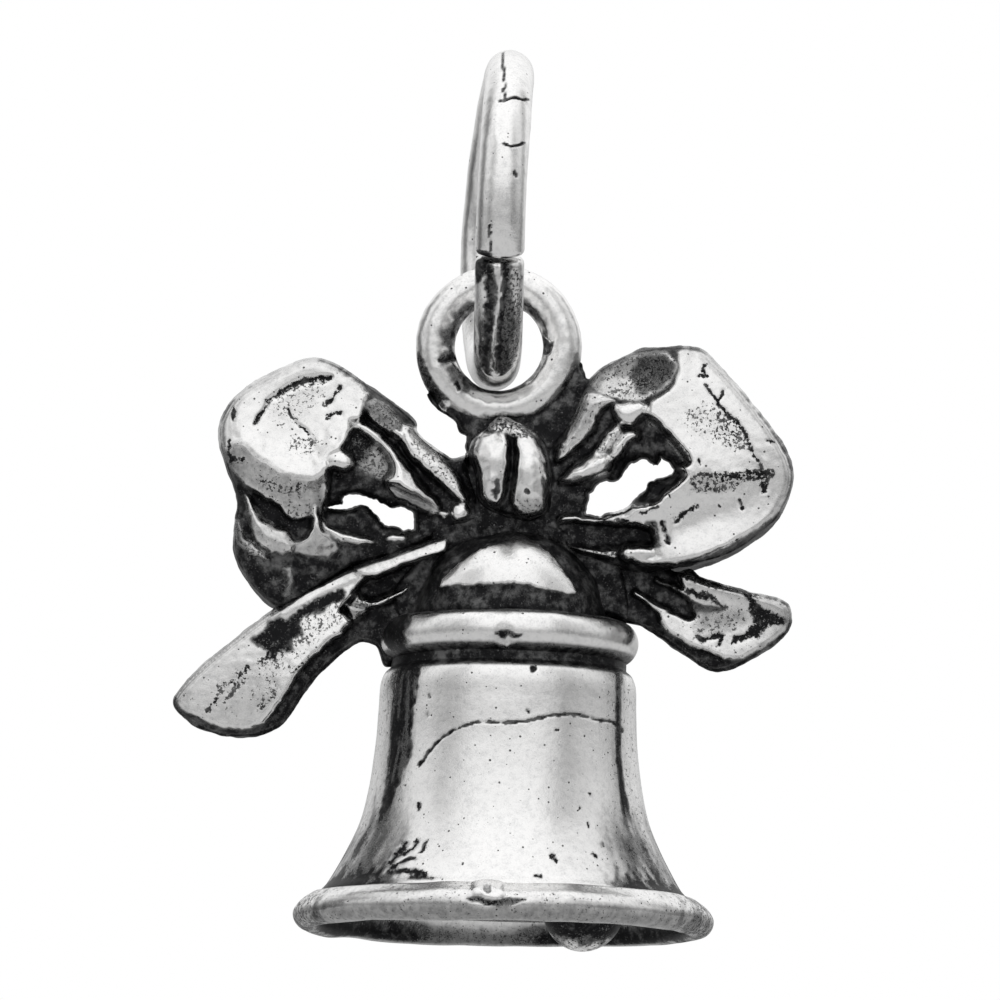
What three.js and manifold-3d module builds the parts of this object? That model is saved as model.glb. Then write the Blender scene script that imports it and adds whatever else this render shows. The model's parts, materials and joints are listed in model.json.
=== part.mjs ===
// Christmas bell charm in antiqued silver, as an assembly.
//
// A round-wire jump ring carries a charm: a hanging eye, a two-loop bow with a knot and two ribbon
// tails, and a small bell below it. A ball clapper swings inside the bell.
//
// Millimetres, +Z up. The origin is the inner top of the jump ring, where the charm hangs from a
// chain or a hook. The bow faces -Y.
import * as THREE from 'three';
import { mergeVertices } from 'three/addons/utils/BufferGeometryUtils.js';
import Module from 'manifold-3d';

// Jump ring: 1.0 mm (18 gauge) round wire, standing in the YZ plane.
const RING_WIRE_R = 0.5;
const RING_BORE_R = 2.5;
const RING_R = RING_BORE_R + RING_WIRE_R;
const RING_JOINT_ANGLE = -24;      // degrees above the horizontal, on the front side
const RING_JOINT_GAP = 1.2;        // degrees left open between the butted ends
const RING_TURN = 0.17;            // how far the ring's sides are turned out of the YZ plane
const RING_LEAN = 0.07;            // how far its top leans to +X

// Hanging eye: a closed wire ring in the XZ plane. The jump ring passes through it.
const EYE_WIRE_R = 0.39;
const EYE_R = 1.32;
const EYE_Z = -5.2;

// Bell, measured up from its mouth plane. Its axis stands a little to the right of the eye's.
const BELL_X = 0.33;
const MOUTH_Z = -17.35;
const RIM_HEIGHT = 0.75;
const BODY_BOTTOM = 0.78;
const BODY_TOP = 5.3;
const COLLAR_R = 2.07;
const COLLAR_BORE_R = 1.75;
const COLLAR_TOP = 6.4;
const BAND_BOTTOM = 5.57;
const BAND_TOP = 6.43;
const BAND_R = 2.66;
const CROWN_BOTTOM = 6.45;
const CROWN_TOP = 8.32;

// Clapper: a ball on a wire stem, whose eye turns on a staple inside the crown.
const PIVOT_HEIGHT = 6.3;          // above the mouth plane
const STAPLE_WIRE_R = 0.15;
const STAPLE_HALF_SPAN = 0.55;
const STAPLE_LEG = 1.05;
const STAPLE_BEND = 0.25;
const STEM_EYE_R = 0.35;
const STEM_EYE_WIRE_R = 0.13;
const STEM_WIRE_R = 0.15;
const BALL_R = 0.82;
const BALL_DROP = 6.03;            // pivot to ball centre
const BALL_SOCKET = 0.45;          // depth of the ball's hole, from its centre to the stem's end
const CLAPPER_LEAN = 15.8;         // degrees towards +X at rest
const FIT = 0.03;                  // clearance between pieces that are soldered or turn together

// Bow, knot and tails: depth from front to back, and the rounding of their edges.
const CORE_DEPTH = 1.5;
const LOOP_DEPTH = 2.3;
const TAIL_DEPTH = 0.9;
const KNOT_DEPTH = 0.8;
const KNOT_HEIGHT = 2.0;
const KNOT_X = 0.37;
const KNOT_Z = -7.97;
const LOBE_R = 0.4;
const LOBE_SPREAD = 0.33;          // each lobe's middle from the knot's
const LOOP_EDGE = 0.08;
const TAIL_EDGE = 0.05;

const wasm = await Module();
wasm.setup();

function silver(color, roughness) {
  return new THREE.MeshStandardMaterial({ color, roughness, metalness: 1.0 });
}

const polished = silver(0xdcdcda, 0.22);
const antiqued = silver(0xa9a8a6, 0.34);
const oxidised = silver(0x3c3b3a, 0.5);

const group = new THREE.Group();

function add(name, geometry, material) {
  const mesh = new THREE.Mesh(geometry, material.clone());
  mesh.name = name;
  group.add(mesh);
  return mesh;
}

// A solid of revolution about +Z through the bell's axis. The outline is [radius, height] pairs,
// counter-clockwise from the lowest point, so that its faces point out.
function turned(outline, segments, closed) {
  const points = outline.map(([radius, height]) => new THREE.Vector2(radius, height));
  if (closed) {
    points.push(points[0].clone());
  }
  const geometry = new THREE.LatheGeometry(points, segments);
  geometry.rotateX(Math.PI / 2);
  geometry.translate(BELL_X, 0, MOUTH_Z);
  return geometry;
}

// A wire of round section swept along a curve. Each half of the section has the given sides.
function wire(curve, radius, steps, halfSides) {
  const section = new THREE.Shape();
  section.absarc(0, 0, radius, 0, 2 * Math.PI, false);
  return new THREE.ExtrudeGeometry(section, {
    steps,
    curveSegments: halfSides,
    bevelEnabled: false,
    extrudePath: curve,
  });
}

// A torus in the XZ plane.
function eye(radius, wireRadius, sides, segments) {
  const geometry = new THREE.TorusGeometry(radius, wireRadius, sides, segments);
  geometry.rotateX(Math.PI / 2);
  return geometry;
}

// A smooth closed outline through the given [x, z] points.
function smoothPath(Kind, outline, perPoint = 3) {
  const through = outline.map(([x, z]) => new THREE.Vector3(x, z, 0));
  const curve = new THREE.CatmullRomCurve3(through, true, 'centripetal');
  const points = curve.getPoints(outline.length * perPoint).slice(0, -1);
  return new Kind(points.map((point) => new THREE.Vector2(point.x, point.y)));
}

// A plate that follows an outline in the XZ plane, with rounded edges, between two depths.
function plate(shape, front, depth, edge) {
  const geometry = new THREE.ExtrudeGeometry(shape, {
    depth: depth - 2 * edge,
    curveSegments: 16,
    bevelEnabled: edge > 0,
    bevelThickness: edge,
    bevelSize: edge,
    bevelOffset: -edge,
    bevelSegments: 2,
  });
  geometry.rotateX(Math.PI / 2);
  geometry.translate(0, front + depth - edge, 0);
  return geometry;
}

function toManifold(geometry) {
  const bare = geometry.clone();
  bare.deleteAttribute('normal');
  bare.deleteAttribute('uv');
  const merged = mergeVertices(bare, 1e-5);
  return new wasm.Manifold(new wasm.Mesh({
    numProp: 3,
    vertProperties: new Float32Array(merged.attributes.position.array),
    triVerts: new Uint32Array(merged.index.array),
  }));
}

function fromManifold(solid) {
  const mesh = solid.getMesh();
  const geometry = new THREE.BufferGeometry();
  geometry.setAttribute('position', new THREE.BufferAttribute(mesh.vertProperties, 3));
  geometry.setIndex(new THREE.BufferAttribute(mesh.triVerts, 1));
  geometry.computeVertexNormals();
  return geometry;
}

// The jump ring is one length of wire bent round until its ends butt together on the front side.
// It isn't quite flat: both sides are turned a little and the top leans.
class RingCurve extends THREE.Curve {
  getPoint(t, target = new THREE.Vector3()) {
    const start = RING_JOINT_ANGLE + RING_JOINT_GAP / 2;
    const angle = THREE.MathUtils.degToRad(start + t * (360 - RING_JOINT_GAP));
    const side = -Math.cos(angle);
    const height = Math.sin(angle);
    const x = -RING_TURN * side * (1 + side) + RING_LEAN * height;
    return target.set(x, RING_R * side, RING_R * height - RING_BORE_R);
  }
}

function jumpRing() {
  add('jump_ring', wire(new RingCurve(), RING_WIRE_R, 60, 6), polished);
}

function hangingEye() {
  const geometry = eye(EYE_R, EYE_WIRE_R, 12, 44);
  geometry.translate(0, 0, EYE_Z);
  add('hanging_eye', geometry, polished);
}

// The core is the solid middle of the bow. Its top is a saddle that cups the eye, and thin webs
// run up from it on both sides of the eye.
function bowCore() {
  const saddleRadius = EYE_R + EYE_WIRE_R + FIT;
  const rightTip = Math.atan2(-0.26, 1.72);
  const leftTip = Math.atan2(-1.14, -1.31);
  const shape = new THREE.Shape();
  shape.absarc(0, EYE_Z, saddleRadius, leftTip, rightTip, false);
  shape.lineTo(1.79, -5.8);
  shape.lineTo(1.44, -6.75);
  shape.lineTo(1.31, -7.3);
  shape.lineTo(1.28, -9.0);
  shape.lineTo(-0.58, -9.0);
  shape.lineTo(-0.56, -7.5);
  shape.lineTo(-0.66, -7.2);
  shape.lineTo(-0.9, -6.82);
  shape.closePath();
  add('bow_core', plate(shape, -CORE_DEPTH / 2, CORE_DEPTH, 0), oxidised);
}

// The knot is the ribbon's middle wrap: two upright rounded lobes side by side, on the front and the
// back, each flat where it lies on the core.
function knots() {
  for (const [name, side] of [['knot_front', -1], ['knot_back', 1]]) {
    const lobes = [-1, 1].map((hand) => {
      const lobe = new THREE.CapsuleGeometry(LOBE_R, KNOT_HEIGHT - 2 * LOBE_R, 6, 16);
      lobe.rotateX(Math.PI / 2);
      lobe.scale(1, KNOT_DEPTH / LOBE_R, 1);
      lobe.translate(KNOT_X + hand * LOBE_SPREAD, side * (CORE_DEPTH / 2 + FIT), KNOT_Z);
      return toManifold(lobe);
    });
    const behind = new THREE.BoxGeometry(4 * LOBE_R + 1, CORE_DEPTH, KNOT_HEIGHT + 1);
    behind.translate(KNOT_X, side * FIT, KNOT_Z);
    add(name, fromManifold(lobes[0].add(lobes[1]).subtract(toManifold(behind))), antiqued);
  }
}

// Each loop is the ribbon folded round an open eyelet that goes through from front to back.
function bowLoops() {
  const leftOutline = [
    [-0.7, -7.56], [-1.3, -7.3], [-1.7, -6.8], [-2.7, -6.05], [-3.4, -5.62], [-4.2, -5.6],
    [-5.35, -6.27], [-5.77, -7.05], [-5.4, -8.2], [-5.36, -9.5], [-4.5, -10.65], [-3.4, -10.3],
    [-2.0, -9.66], [-0.7, -9.28], [-0.66, -9.0], [-0.66, -8.0],
  ];
  const leftHole = [
    [-3.35, -8.3], [-3.0, -8.12], [-2.2, -8.25], [-1.6, -8.5], [-1.0, -8.8], [-1.6, -9.1],
    [-2.6, -9.2], [-3.3, -9.0],
  ];
  const rightOutline = [
    [1.44, -7.4], [1.6, -6.8], [1.95, -5.8], [2.9, -5.2], [4.15, -5.13], [5.1, -5.7],
    [6.0, -7.1], [6.08, -8.1], [5.65, -8.92], [4.9, -9.42], [3.7, -9.76], [2.6, -9.5], [1.45, -9.22], [1.4, -9.0], [1.4, -7.8],
  ];
  const rightHole = [
    [1.9, -8.2], [2.35, -7.7], [2.85, -7.0], [3.3, -6.85], [3.75, -7.2], [4.1, -7.75], [3.8, -8.15],
    [2.9, -8.5], [2.0, -8.6],
  ];
  const sides = [['bow_loop_left', leftOutline, leftHole], ['bow_loop_right', rightOutline, rightHole]];
  for (const [name, outline, hole] of sides) {
    const solid = plate(smoothPath(THREE.Shape, outline), -LOOP_DEPTH / 2, LOOP_DEPTH, LOOP_EDGE);
    const eyelet = plate(smoothPath(THREE.Shape, hole), -LOOP_DEPTH, 2 * LOOP_DEPTH, 0);
    add(name, fromManifold(toManifold(solid).subtract(toManifold(eyelet))), polished);
  }
}

// The tails leave the bow below the loops and end in slanting cuts.
function tails() {
  const leftOutline = [
    [-1.05, -9.55], [-2.05, -9.78], [-3.4, -10.4], [-4.5, -10.82], [-5.4, -11.66], [-6.52, -12.68],
    [-6.35, -13.0], [-5.8, -13.3], [-4.9, -13.4], [-4.1, -12.82], [-3.2, -11.75], [-2.6, -11.5],
    [-2.42, -11.1], [-1.9, -10.8], [-1.4, -10.35],
  ];
  const rightOutline = [
    [1.45, -9.33], [2.5, -9.6], [3.1, -9.84], [4.0, -9.86], [5.2, -10.08], [6.1, -10.4],
    [6.12, -10.75], [5.3, -11.68], [4.7, -11.8], [3.8, -11.42], [2.85, -10.75], [2.38, -10.38],
    [1.95, -9.88],
  ];
  for (const [name, outline] of [['ribbon_tail_left', leftOutline], ['ribbon_tail_right', rightOutline]]) {
    add(name, plate(smoothPath(THREE.Shape, outline), -TAIL_DEPTH / 2, TAIL_DEPTH, TAIL_EDGE), polished);
  }
}

// The crown is a hollow dome with a thick tip, open below so that the staple hangs inside it.
function crown() {
  const outline = [
    [1.55, CROWN_BOTTOM], [2.05, CROWN_BOTTOM], [1.65, 6.9], [1.2, 7.4], [0.8, 7.9], [0.45, 8.2],
    [0.2, CROWN_TOP - 0.03], [0, CROWN_TOP], [0, 7.75], [0.5, 7.65], [0.85, 7.35], [1.2, 6.85],
  ];
  const start = outline.findIndex(([radius]) => radius === 0);
  const axisToAxis = [...outline.slice(start + 1), ...outline.slice(0, start + 1)];
  add('bell_crown', turned(axisToAxis, 40, false), antiqued);
}

// The shoulder band is a half-round ring that sits on the body's shoulder, round its collar.
function shoulderBand() {
  const middle = (BAND_BOTTOM + BAND_TOP) / 2;
  const flat = 2.3;
  const outline = [[COLLAR_R + FIT, BAND_BOTTOM]];
  for (let step = 0; step <= 8; step++) {
    const angle = -Math.PI / 2 + (Math.PI * step) / 8;
    const height = middle + (BAND_TOP - middle) * Math.sin(angle);
    outline.push([flat + (BAND_R - flat) * Math.cos(angle), height]);
  }
  outline.push([COLLAR_R + FIT, BAND_TOP]);
  add('shoulder_band', turned(outline, 48, true), polished);
}

// The body is a thin wall that flares to the mouth. Above its shoulder a narrower collar runs up
// inside the band and carries the crown.
function bellBody() {
  const outline = [
    [3.35, BODY_BOTTOM], [3.82, BODY_BOTTOM], [3.5, 1.15], [3.22, 1.67], [2.95, 2.29], [2.81, 2.92],
    [2.68, 3.96], [2.62, 5.1], [2.55, BODY_TOP], [2.42, 5.4], [2.42, BAND_BOTTOM - FIT],
    [COLLAR_R, BAND_BOTTOM - FIT], [COLLAR_R, COLLAR_TOP], [COLLAR_BORE_R, COLLAR_TOP],
    [COLLAR_BORE_R, 5.3], [2.1, 4.95], [2.18, 3.96], [2.3, 2.92], [2.44, 2.25], [2.72, 1.6],
    [3.02, 1.12],
  ];
  add('bell_body', turned(outline, 48, true), polished);
}

// The rim bead is the thick rolled lip round the mouth.
function rimBead() {
  const outline = [
    [3.75, 0.02], [3.95, 0], [4.15, 0.05], [4.27, 0.18], [4.3, 0.36], [4.2, 0.53], [4.04, 0.66],
    [3.88, RIM_HEIGHT], [3.65, RIM_HEIGHT], [3.65, 0.12],
  ];
  add('rim_bead', turned(outline, 48, true), polished);
}

// The staple is a U of wire soldered up into the crown. Its crossbar, along Y, carries the clapper.
function clapperStaple() {
  const span = STAPLE_HALF_SPAN;
  const corner = (side) => new THREE.Vector3(0, side * span, 0);
  const above = (side, height) => new THREE.Vector3(0, side * span, height);
  const beside = (side) => new THREE.Vector3(0, side * (span - STAPLE_BEND), 0);
  const path = new THREE.CurvePath();
  path.add(new THREE.LineCurve3(above(-1, STAPLE_LEG), above(-1, STAPLE_BEND)));
  path.add(new THREE.QuadraticBezierCurve3(above(-1, STAPLE_BEND), corner(-1), beside(-1)));
  path.add(new THREE.LineCurve3(beside(-1), beside(1)));
  path.add(new THREE.QuadraticBezierCurve3(beside(1), corner(1), above(1, STAPLE_BEND)));
  path.add(new THREE.LineCurve3(above(1, STAPLE_BEND), above(1, STAPLE_LEG)));
  const mesh = add('clapper_staple', wire(path, STAPLE_WIRE_R, 24, 4), antiqued);
  mesh.position.set(BELL_X, 0, MOUTH_Z + PIVOT_HEIGHT);
}

// The clapper hangs from the pivot and leans, so its two pieces share one turned group.
function clapper() {
  const hanging = new THREE.Group();
  hanging.position.set(BELL_X, 0, MOUTH_Z + PIVOT_HEIGHT);
  hanging.rotation.y = -THREE.MathUtils.degToRad(CLAPPER_LEAN);
  group.add(hanging);

  const stemEnd = BALL_DROP - BALL_SOCKET + FIT;
  const stemLength = stemEnd - STEM_EYE_R;
  const shank = new THREE.CylinderGeometry(STEM_WIRE_R, STEM_WIRE_R, stemLength, 12, 6);
  shank.rotateX(Math.PI / 2);
  shank.translate(0, 0, -STEM_EYE_R - stemLength / 2);
  const ring = eye(STEM_EYE_R, STEM_EYE_WIRE_R, 8, 20);
  const stem = new THREE.Mesh(fromManifold(toManifold(ring).add(toManifold(shank))), antiqued.clone());
  stem.name = 'clapper_stem';
  hanging.add(stem);

  const ballSolid = new THREE.SphereGeometry(BALL_R, 28, 18);
  ballSolid.rotateX(Math.PI / 2);
  const holeLength = BALL_R;
  const hole = new THREE.CylinderGeometry(STEM_WIRE_R + FIT, STEM_WIRE_R + FIT, holeLength, 12);
  hole.rotateX(Math.PI / 2);
  hole.translate(0, 0, BALL_SOCKET - FIT + holeLength / 2);
  const drilled = fromManifold(toManifold(ballSolid).subtract(toManifold(hole)));
  const ball = new THREE.Mesh(drilled, polished.clone());
  ball.name = 'clapper_ball';
  ball.position.set(0, 0, -BALL_DROP);
  hanging.add(ball);
}

jumpRing();
hangingEye();
bowCore();
knots();
bowLoops();
tails();
crown();
shoulderBand();
bellBody();
rimBead();
clapperStaple();
clapper();

export default group;
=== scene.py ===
"""Looks of the christmas bell ornament: a small antiqued silver charm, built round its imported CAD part.

Lengths in this file are millimetres. Every feature of the bow and the bell is placed as the camera
sees it: u is to the right of the hanging eye's centre and w is above it, both on the upright plane
through the eye.
"""

import itertools
import json
import math

import bpy
import numpy as np
from mathutils import Matrix, Vector
from mathutils.geometry import delaunay_2d_cdt

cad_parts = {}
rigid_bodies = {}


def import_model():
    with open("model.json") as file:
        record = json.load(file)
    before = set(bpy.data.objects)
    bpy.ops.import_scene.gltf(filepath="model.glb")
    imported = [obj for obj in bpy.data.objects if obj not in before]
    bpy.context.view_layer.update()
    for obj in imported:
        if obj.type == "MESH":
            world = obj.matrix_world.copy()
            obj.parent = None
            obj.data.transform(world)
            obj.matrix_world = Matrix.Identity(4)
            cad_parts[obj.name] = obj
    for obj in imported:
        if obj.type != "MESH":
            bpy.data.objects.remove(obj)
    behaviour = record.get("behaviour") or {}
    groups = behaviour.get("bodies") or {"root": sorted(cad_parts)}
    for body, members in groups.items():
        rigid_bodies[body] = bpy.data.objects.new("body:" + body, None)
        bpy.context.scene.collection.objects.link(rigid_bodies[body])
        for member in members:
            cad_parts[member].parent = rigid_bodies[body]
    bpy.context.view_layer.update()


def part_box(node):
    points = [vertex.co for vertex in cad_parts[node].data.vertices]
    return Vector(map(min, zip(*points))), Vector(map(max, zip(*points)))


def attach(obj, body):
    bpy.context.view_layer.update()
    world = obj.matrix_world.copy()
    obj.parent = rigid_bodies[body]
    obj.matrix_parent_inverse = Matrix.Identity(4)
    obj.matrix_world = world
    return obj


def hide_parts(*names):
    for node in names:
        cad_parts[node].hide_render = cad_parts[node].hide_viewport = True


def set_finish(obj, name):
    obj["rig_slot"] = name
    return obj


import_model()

MM = 0.001
FINE = 0.03      # spacing of the points of a bow piece's surface
TURNED_STEP = 1.2 * FINE                 # the same along the outline of a turned piece
SIDEWAYS = 0.25                          # marks end where the surface turns this far from the camera
PLAIN_PITS = 0.12                        # pits of silver with no mark on it
RAGGED = 0.03                            # how far the edges of marks stray


# ---- places on the CAD part

def corners(node):
    lo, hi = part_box(node)
    return np.array(lo) / MM, np.array(hi) / MM


def middle(node):
    lo, hi = corners(node)
    return (lo + hi) / 2


EYE = middle("hanging_eye")
RIM_LO, RIM_HI = corners("rim_bead")
BELL = np.array([(RIM_LO[0] + RIM_HI[0]) / 2, 0.0, RIM_LO[2]])
RING_LO, RING_HI = corners("jump_ring")
BALL = middle("clapper_ball")
BALL_R = (corners("clapper_ball")[1] - BALL)[1]
STAPLE_LO, STAPLE_HI = corners("clapper_staple")
PIN_WIRE = (STAPLE_HI[0] - STAPLE_LO[0]) / 2
PIN = np.array([STAPLE_LO[0] + PIN_WIRE, 0.0, STAPLE_LO[2] + PIN_WIRE])      # the clapper's pivot

# ---- camera

AIM = EYE + np.array([0.09, 0.0, -3.19])
DISTANCE = 140.0
LOOK_UP = math.radians(7.7)              # the camera looks up a little from below
ROLL = math.radians(1.2)
VIEW_WIDTH = 20.65                       # what the picture spans at the aim, across
SENSOR = 36.0
NEAREST, FARTHEST = 0.005, 20.0          # clipping distances, in metres

back = np.array([0.0, -math.cos(LOOK_UP), -math.sin(LOOK_UP)])
CAMERA = AIM + DISTANCE * back


def make_camera():
    side = np.array([1.0, 0.0, 0.0])
    top = np.cross(back, side)
    right = side * math.cos(ROLL) + top * math.sin(ROLL)
    up = top * math.cos(ROLL) - side * math.sin(ROLL)
    data = bpy.data.cameras.new("camera")
    data.sensor_width = SENSOR
    data.lens = SENSOR * DISTANCE / VIEW_WIDTH
    data.clip_start, data.clip_end = NEAREST, FARTHEST
    camera = bpy.data.objects.new("camera", data)
    bpy.context.scene.collection.objects.link(camera)
    turn = Matrix((right, up, back)).transposed().to_4x4()
    camera.matrix_world = Matrix.Translation(Vector(CAMERA * MM)) @ turn
    bpy.context.scene.camera = camera


make_camera()


def along_sight(seen, y):
    """The points at depth y that the camera sees at (u, w)."""
    on_plane = np.column_stack([EYE[0] + seen[:, 0], np.zeros(len(seen)), EYE[2] + seen[:, 1]])
    share = (y - CAMERA[1]) / -CAMERA[1]
    return CAMERA + (on_plane - CAMERA) * np.reshape(share, (-1, 1))


def seen_at(points):
    """Where the camera sees the points. The back half is a mirror of the front."""
    front = points.copy()
    front[:, 1] = -np.abs(front[:, 1])
    share = -CAMERA[1] / (front[:, 1:2] - CAMERA[1])
    on_plane = CAMERA + (front - CAMERA) * share
    return on_plane[:, [0, 2]] - EYE[[0, 2]]


# ---- numbers: noise, curves, distances

LUMPS_SPREAD = 1.6      # smooth noise seldom comes near its limits, and this spreads it out to them
OWN_SHARE = 0.4         # what a value keeps of itself each time it is blurred


def mixed(cells, seed):
    """A number between -1 and 1 for each cell, always the same for the same cell and seed."""
    x, y, z = (cells[..., axis] for axis in range(3))
    n = (x * 73856093) ^ (y * 19349663) ^ (z * 83492791) ^ (seed * 40503)
    n &= 0xFFFFFFFF
    for _ in range(2):
        n = ((n ^ (n >> 16)) * 0x45D9F3B) & 0xFFFFFFFF
    n ^= n >> 16
    return (n & 0xFFFF) / 32767.5 - 1.0


def lumps(points, size, seed, octaves=1):
    """Smooth noise between -1 and 1, with bumps of this size."""
    p = np.asarray(points, float)
    if p.shape[1] == 2:
        p = np.column_stack([p, np.zeros(len(p))])
    total, weight, share = 0.0, 0.0, 1.0
    for octave in range(octaves):
        q = p / size * 2 ** octave + 17.3 * octave + 0.37
        cell = np.floor(q).astype(np.int64)
        f = q - cell
        f = f * f * (3 - 2 * f)
        value = 0.0
        for corner in itertools.product((0, 1), repeat=3):
            c = np.array(corner)
            value = value + np.prod(np.where(c, f, 1 - f), axis=1) * mixed(cell + c, seed + octave)
        total = total + share * value
        weight += share
        share *= 0.5
    return total / weight * LUMPS_SPREAD


def ramp(low, high, x):
    """0 below low, 1 above high, smooth between."""
    k = np.clip((x - low) / (high - low), 0, 1)
    return k * k * (3 - 2 * k)


def rounded(share):
    """A quarter-round: it rises steeply from 0 at share 0 and is level at 1 from share 1."""
    return np.sqrt(np.clip(1 - (1 - np.minimum(share, 1)) ** 2, 0, 1))


def curve(points, closed=True, step=0.04):
    """A smooth line through the points, as a row of points about a step apart."""
    p = np.asarray(points, float)
    if closed:
        p = np.vstack([p[-1], p, p[0], p[1]])
    else:
        p = np.vstack([2 * p[0] - p[1], p, 2 * p[-1] - p[-2]])
    out = []
    for a, b, c, d in zip(p, p[1:], p[2:], p[3:]):
        reach = [max(np.hypot(*(y - x)), 1e-6) ** 0.5 for x, y in ((a, b), (b, c), (c, d))]
        m1 = (b - a) / reach[0] - (c - a) / (reach[0] + reach[1]) + (c - b) / reach[1]
        m2 = (c - b) / reach[1] - (d - b) / (reach[1] + reach[2]) + (d - c) / reach[2]
        m1, m2 = m1 * reach[1], m2 * reach[1]
        t = np.linspace(0, 1, max(2, int(np.hypot(*(c - b)) / step) + 1), endpoint=False)[:, None]
        out.append((2 * t ** 3 - 3 * t ** 2 + 1) * b + (t ** 3 - 2 * t ** 2 + t) * m1
                   + (3 * t ** 2 - 2 * t ** 3) * c + (t ** 3 - t ** 2) * m2)
    if not closed:
        out.append(p[-2:-1])
    return np.vstack(out)


def evenly(line, step):
    """The closed line again, with its points evenly spaced."""
    around = np.vstack([line, line[0]])
    along = np.concatenate([[0], np.cumsum(np.hypot(*np.diff(around, axis=0).T))])
    at = np.linspace(0, along[-1], max(8, int(along[-1] / step)), endpoint=False)
    return np.column_stack([np.interp(at, along, around[:, i]) for i in (0, 1)])


def gap(points, line, closed=True):
    """Distance from each point to the line."""
    best = np.full(len(points), np.inf)
    ends = np.roll(line, -1, axis=0) if closed else line[1:]
    for a, b in zip(line, ends):
        edge = b - a
        t = np.clip((points - a) @ edge / max(edge @ edge, 1e-12), 0, 1)
        best = np.minimum(best, np.hypot(*(points - a - t[:, None] * edge).T))
    return best


def within(points, line):
    """True for the points inside the closed line."""
    inside = np.zeros(len(points), bool)
    x, y = points.T
    for (ax, ay), (bx, by) in zip(line, np.roll(line, -1, axis=0)):
        if ay != by:
            inside ^= ((ay > y) != (by > y)) & (x < (bx - ax) * (y - ay) / (by - ay) + ax)
    return inside


def turning(line):
    """Twice the area inside the line, above 0 if it runs counter-clockwise."""
    x, y = line.T
    return np.sum(x * np.roll(y, -1) - y * np.roll(x, -1))


def shifted(line, by):
    """The closed line moved to its right, outward if it runs counter-clockwise."""
    along = np.roll(line, -1, axis=0) - np.roll(line, 1, axis=0)
    along /= np.maximum(np.hypot(*along.T), 1e-9)[:, None]
    return line + by * np.column_stack([along[:, 1], -along[:, 0]])


def plate(points, controls):
    """A smooth sheet through the controls (u, w, height), read at the points."""
    c = np.asarray(controls, float)

    def bend(a, b):
        r2 = np.sum((a[:, None] - b[None]) ** 2, axis=2)
        return r2 * np.log(r2 + 1e-9)

    n = len(c)
    system = np.zeros((n + 3, n + 3))
    system[:n, :n] = bend(c[:, :2], c[:, :2]) + 1e-4 * np.eye(n)
    system[:n, n] = 1
    system[:n, n + 1:] = c[:, :2]
    system[n:, :n] = system[:n, n:].T
    weights = np.linalg.solve(system, np.concatenate([c[:, 2], [0, 0, 0]]))
    height = bend(points, c[:, :2]) @ weights[:n] + weights[n] + points @ weights[n + 1:]
    return np.clip(height, c[:, 2].min() - 0.08, c[:, 2].max() + 0.08)


def blurred(values, edges, times):
    """Values averaged with those of their neighbours on the mesh, this many times."""
    a, b = edges.T
    n = len(values)
    count = np.bincount(a, minlength=n) + np.bincount(b, minlength=n)
    for _ in range(times):
        around = np.bincount(a, values[b], n) + np.bincount(b, values[a], n)
        values = OWN_SHARE * values + (1 - OWN_SHARE) * around / np.maximum(count, 1)
    return values


def face_edges(faces):
    f = np.asarray(faces)
    pairs = np.vstack([f[:, [i, (i + 1) % f.shape[1]]] for i in range(f.shape[1])])
    return np.unique(np.sort(pairs, axis=1), axis=0)


# ---- surfaces

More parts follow.
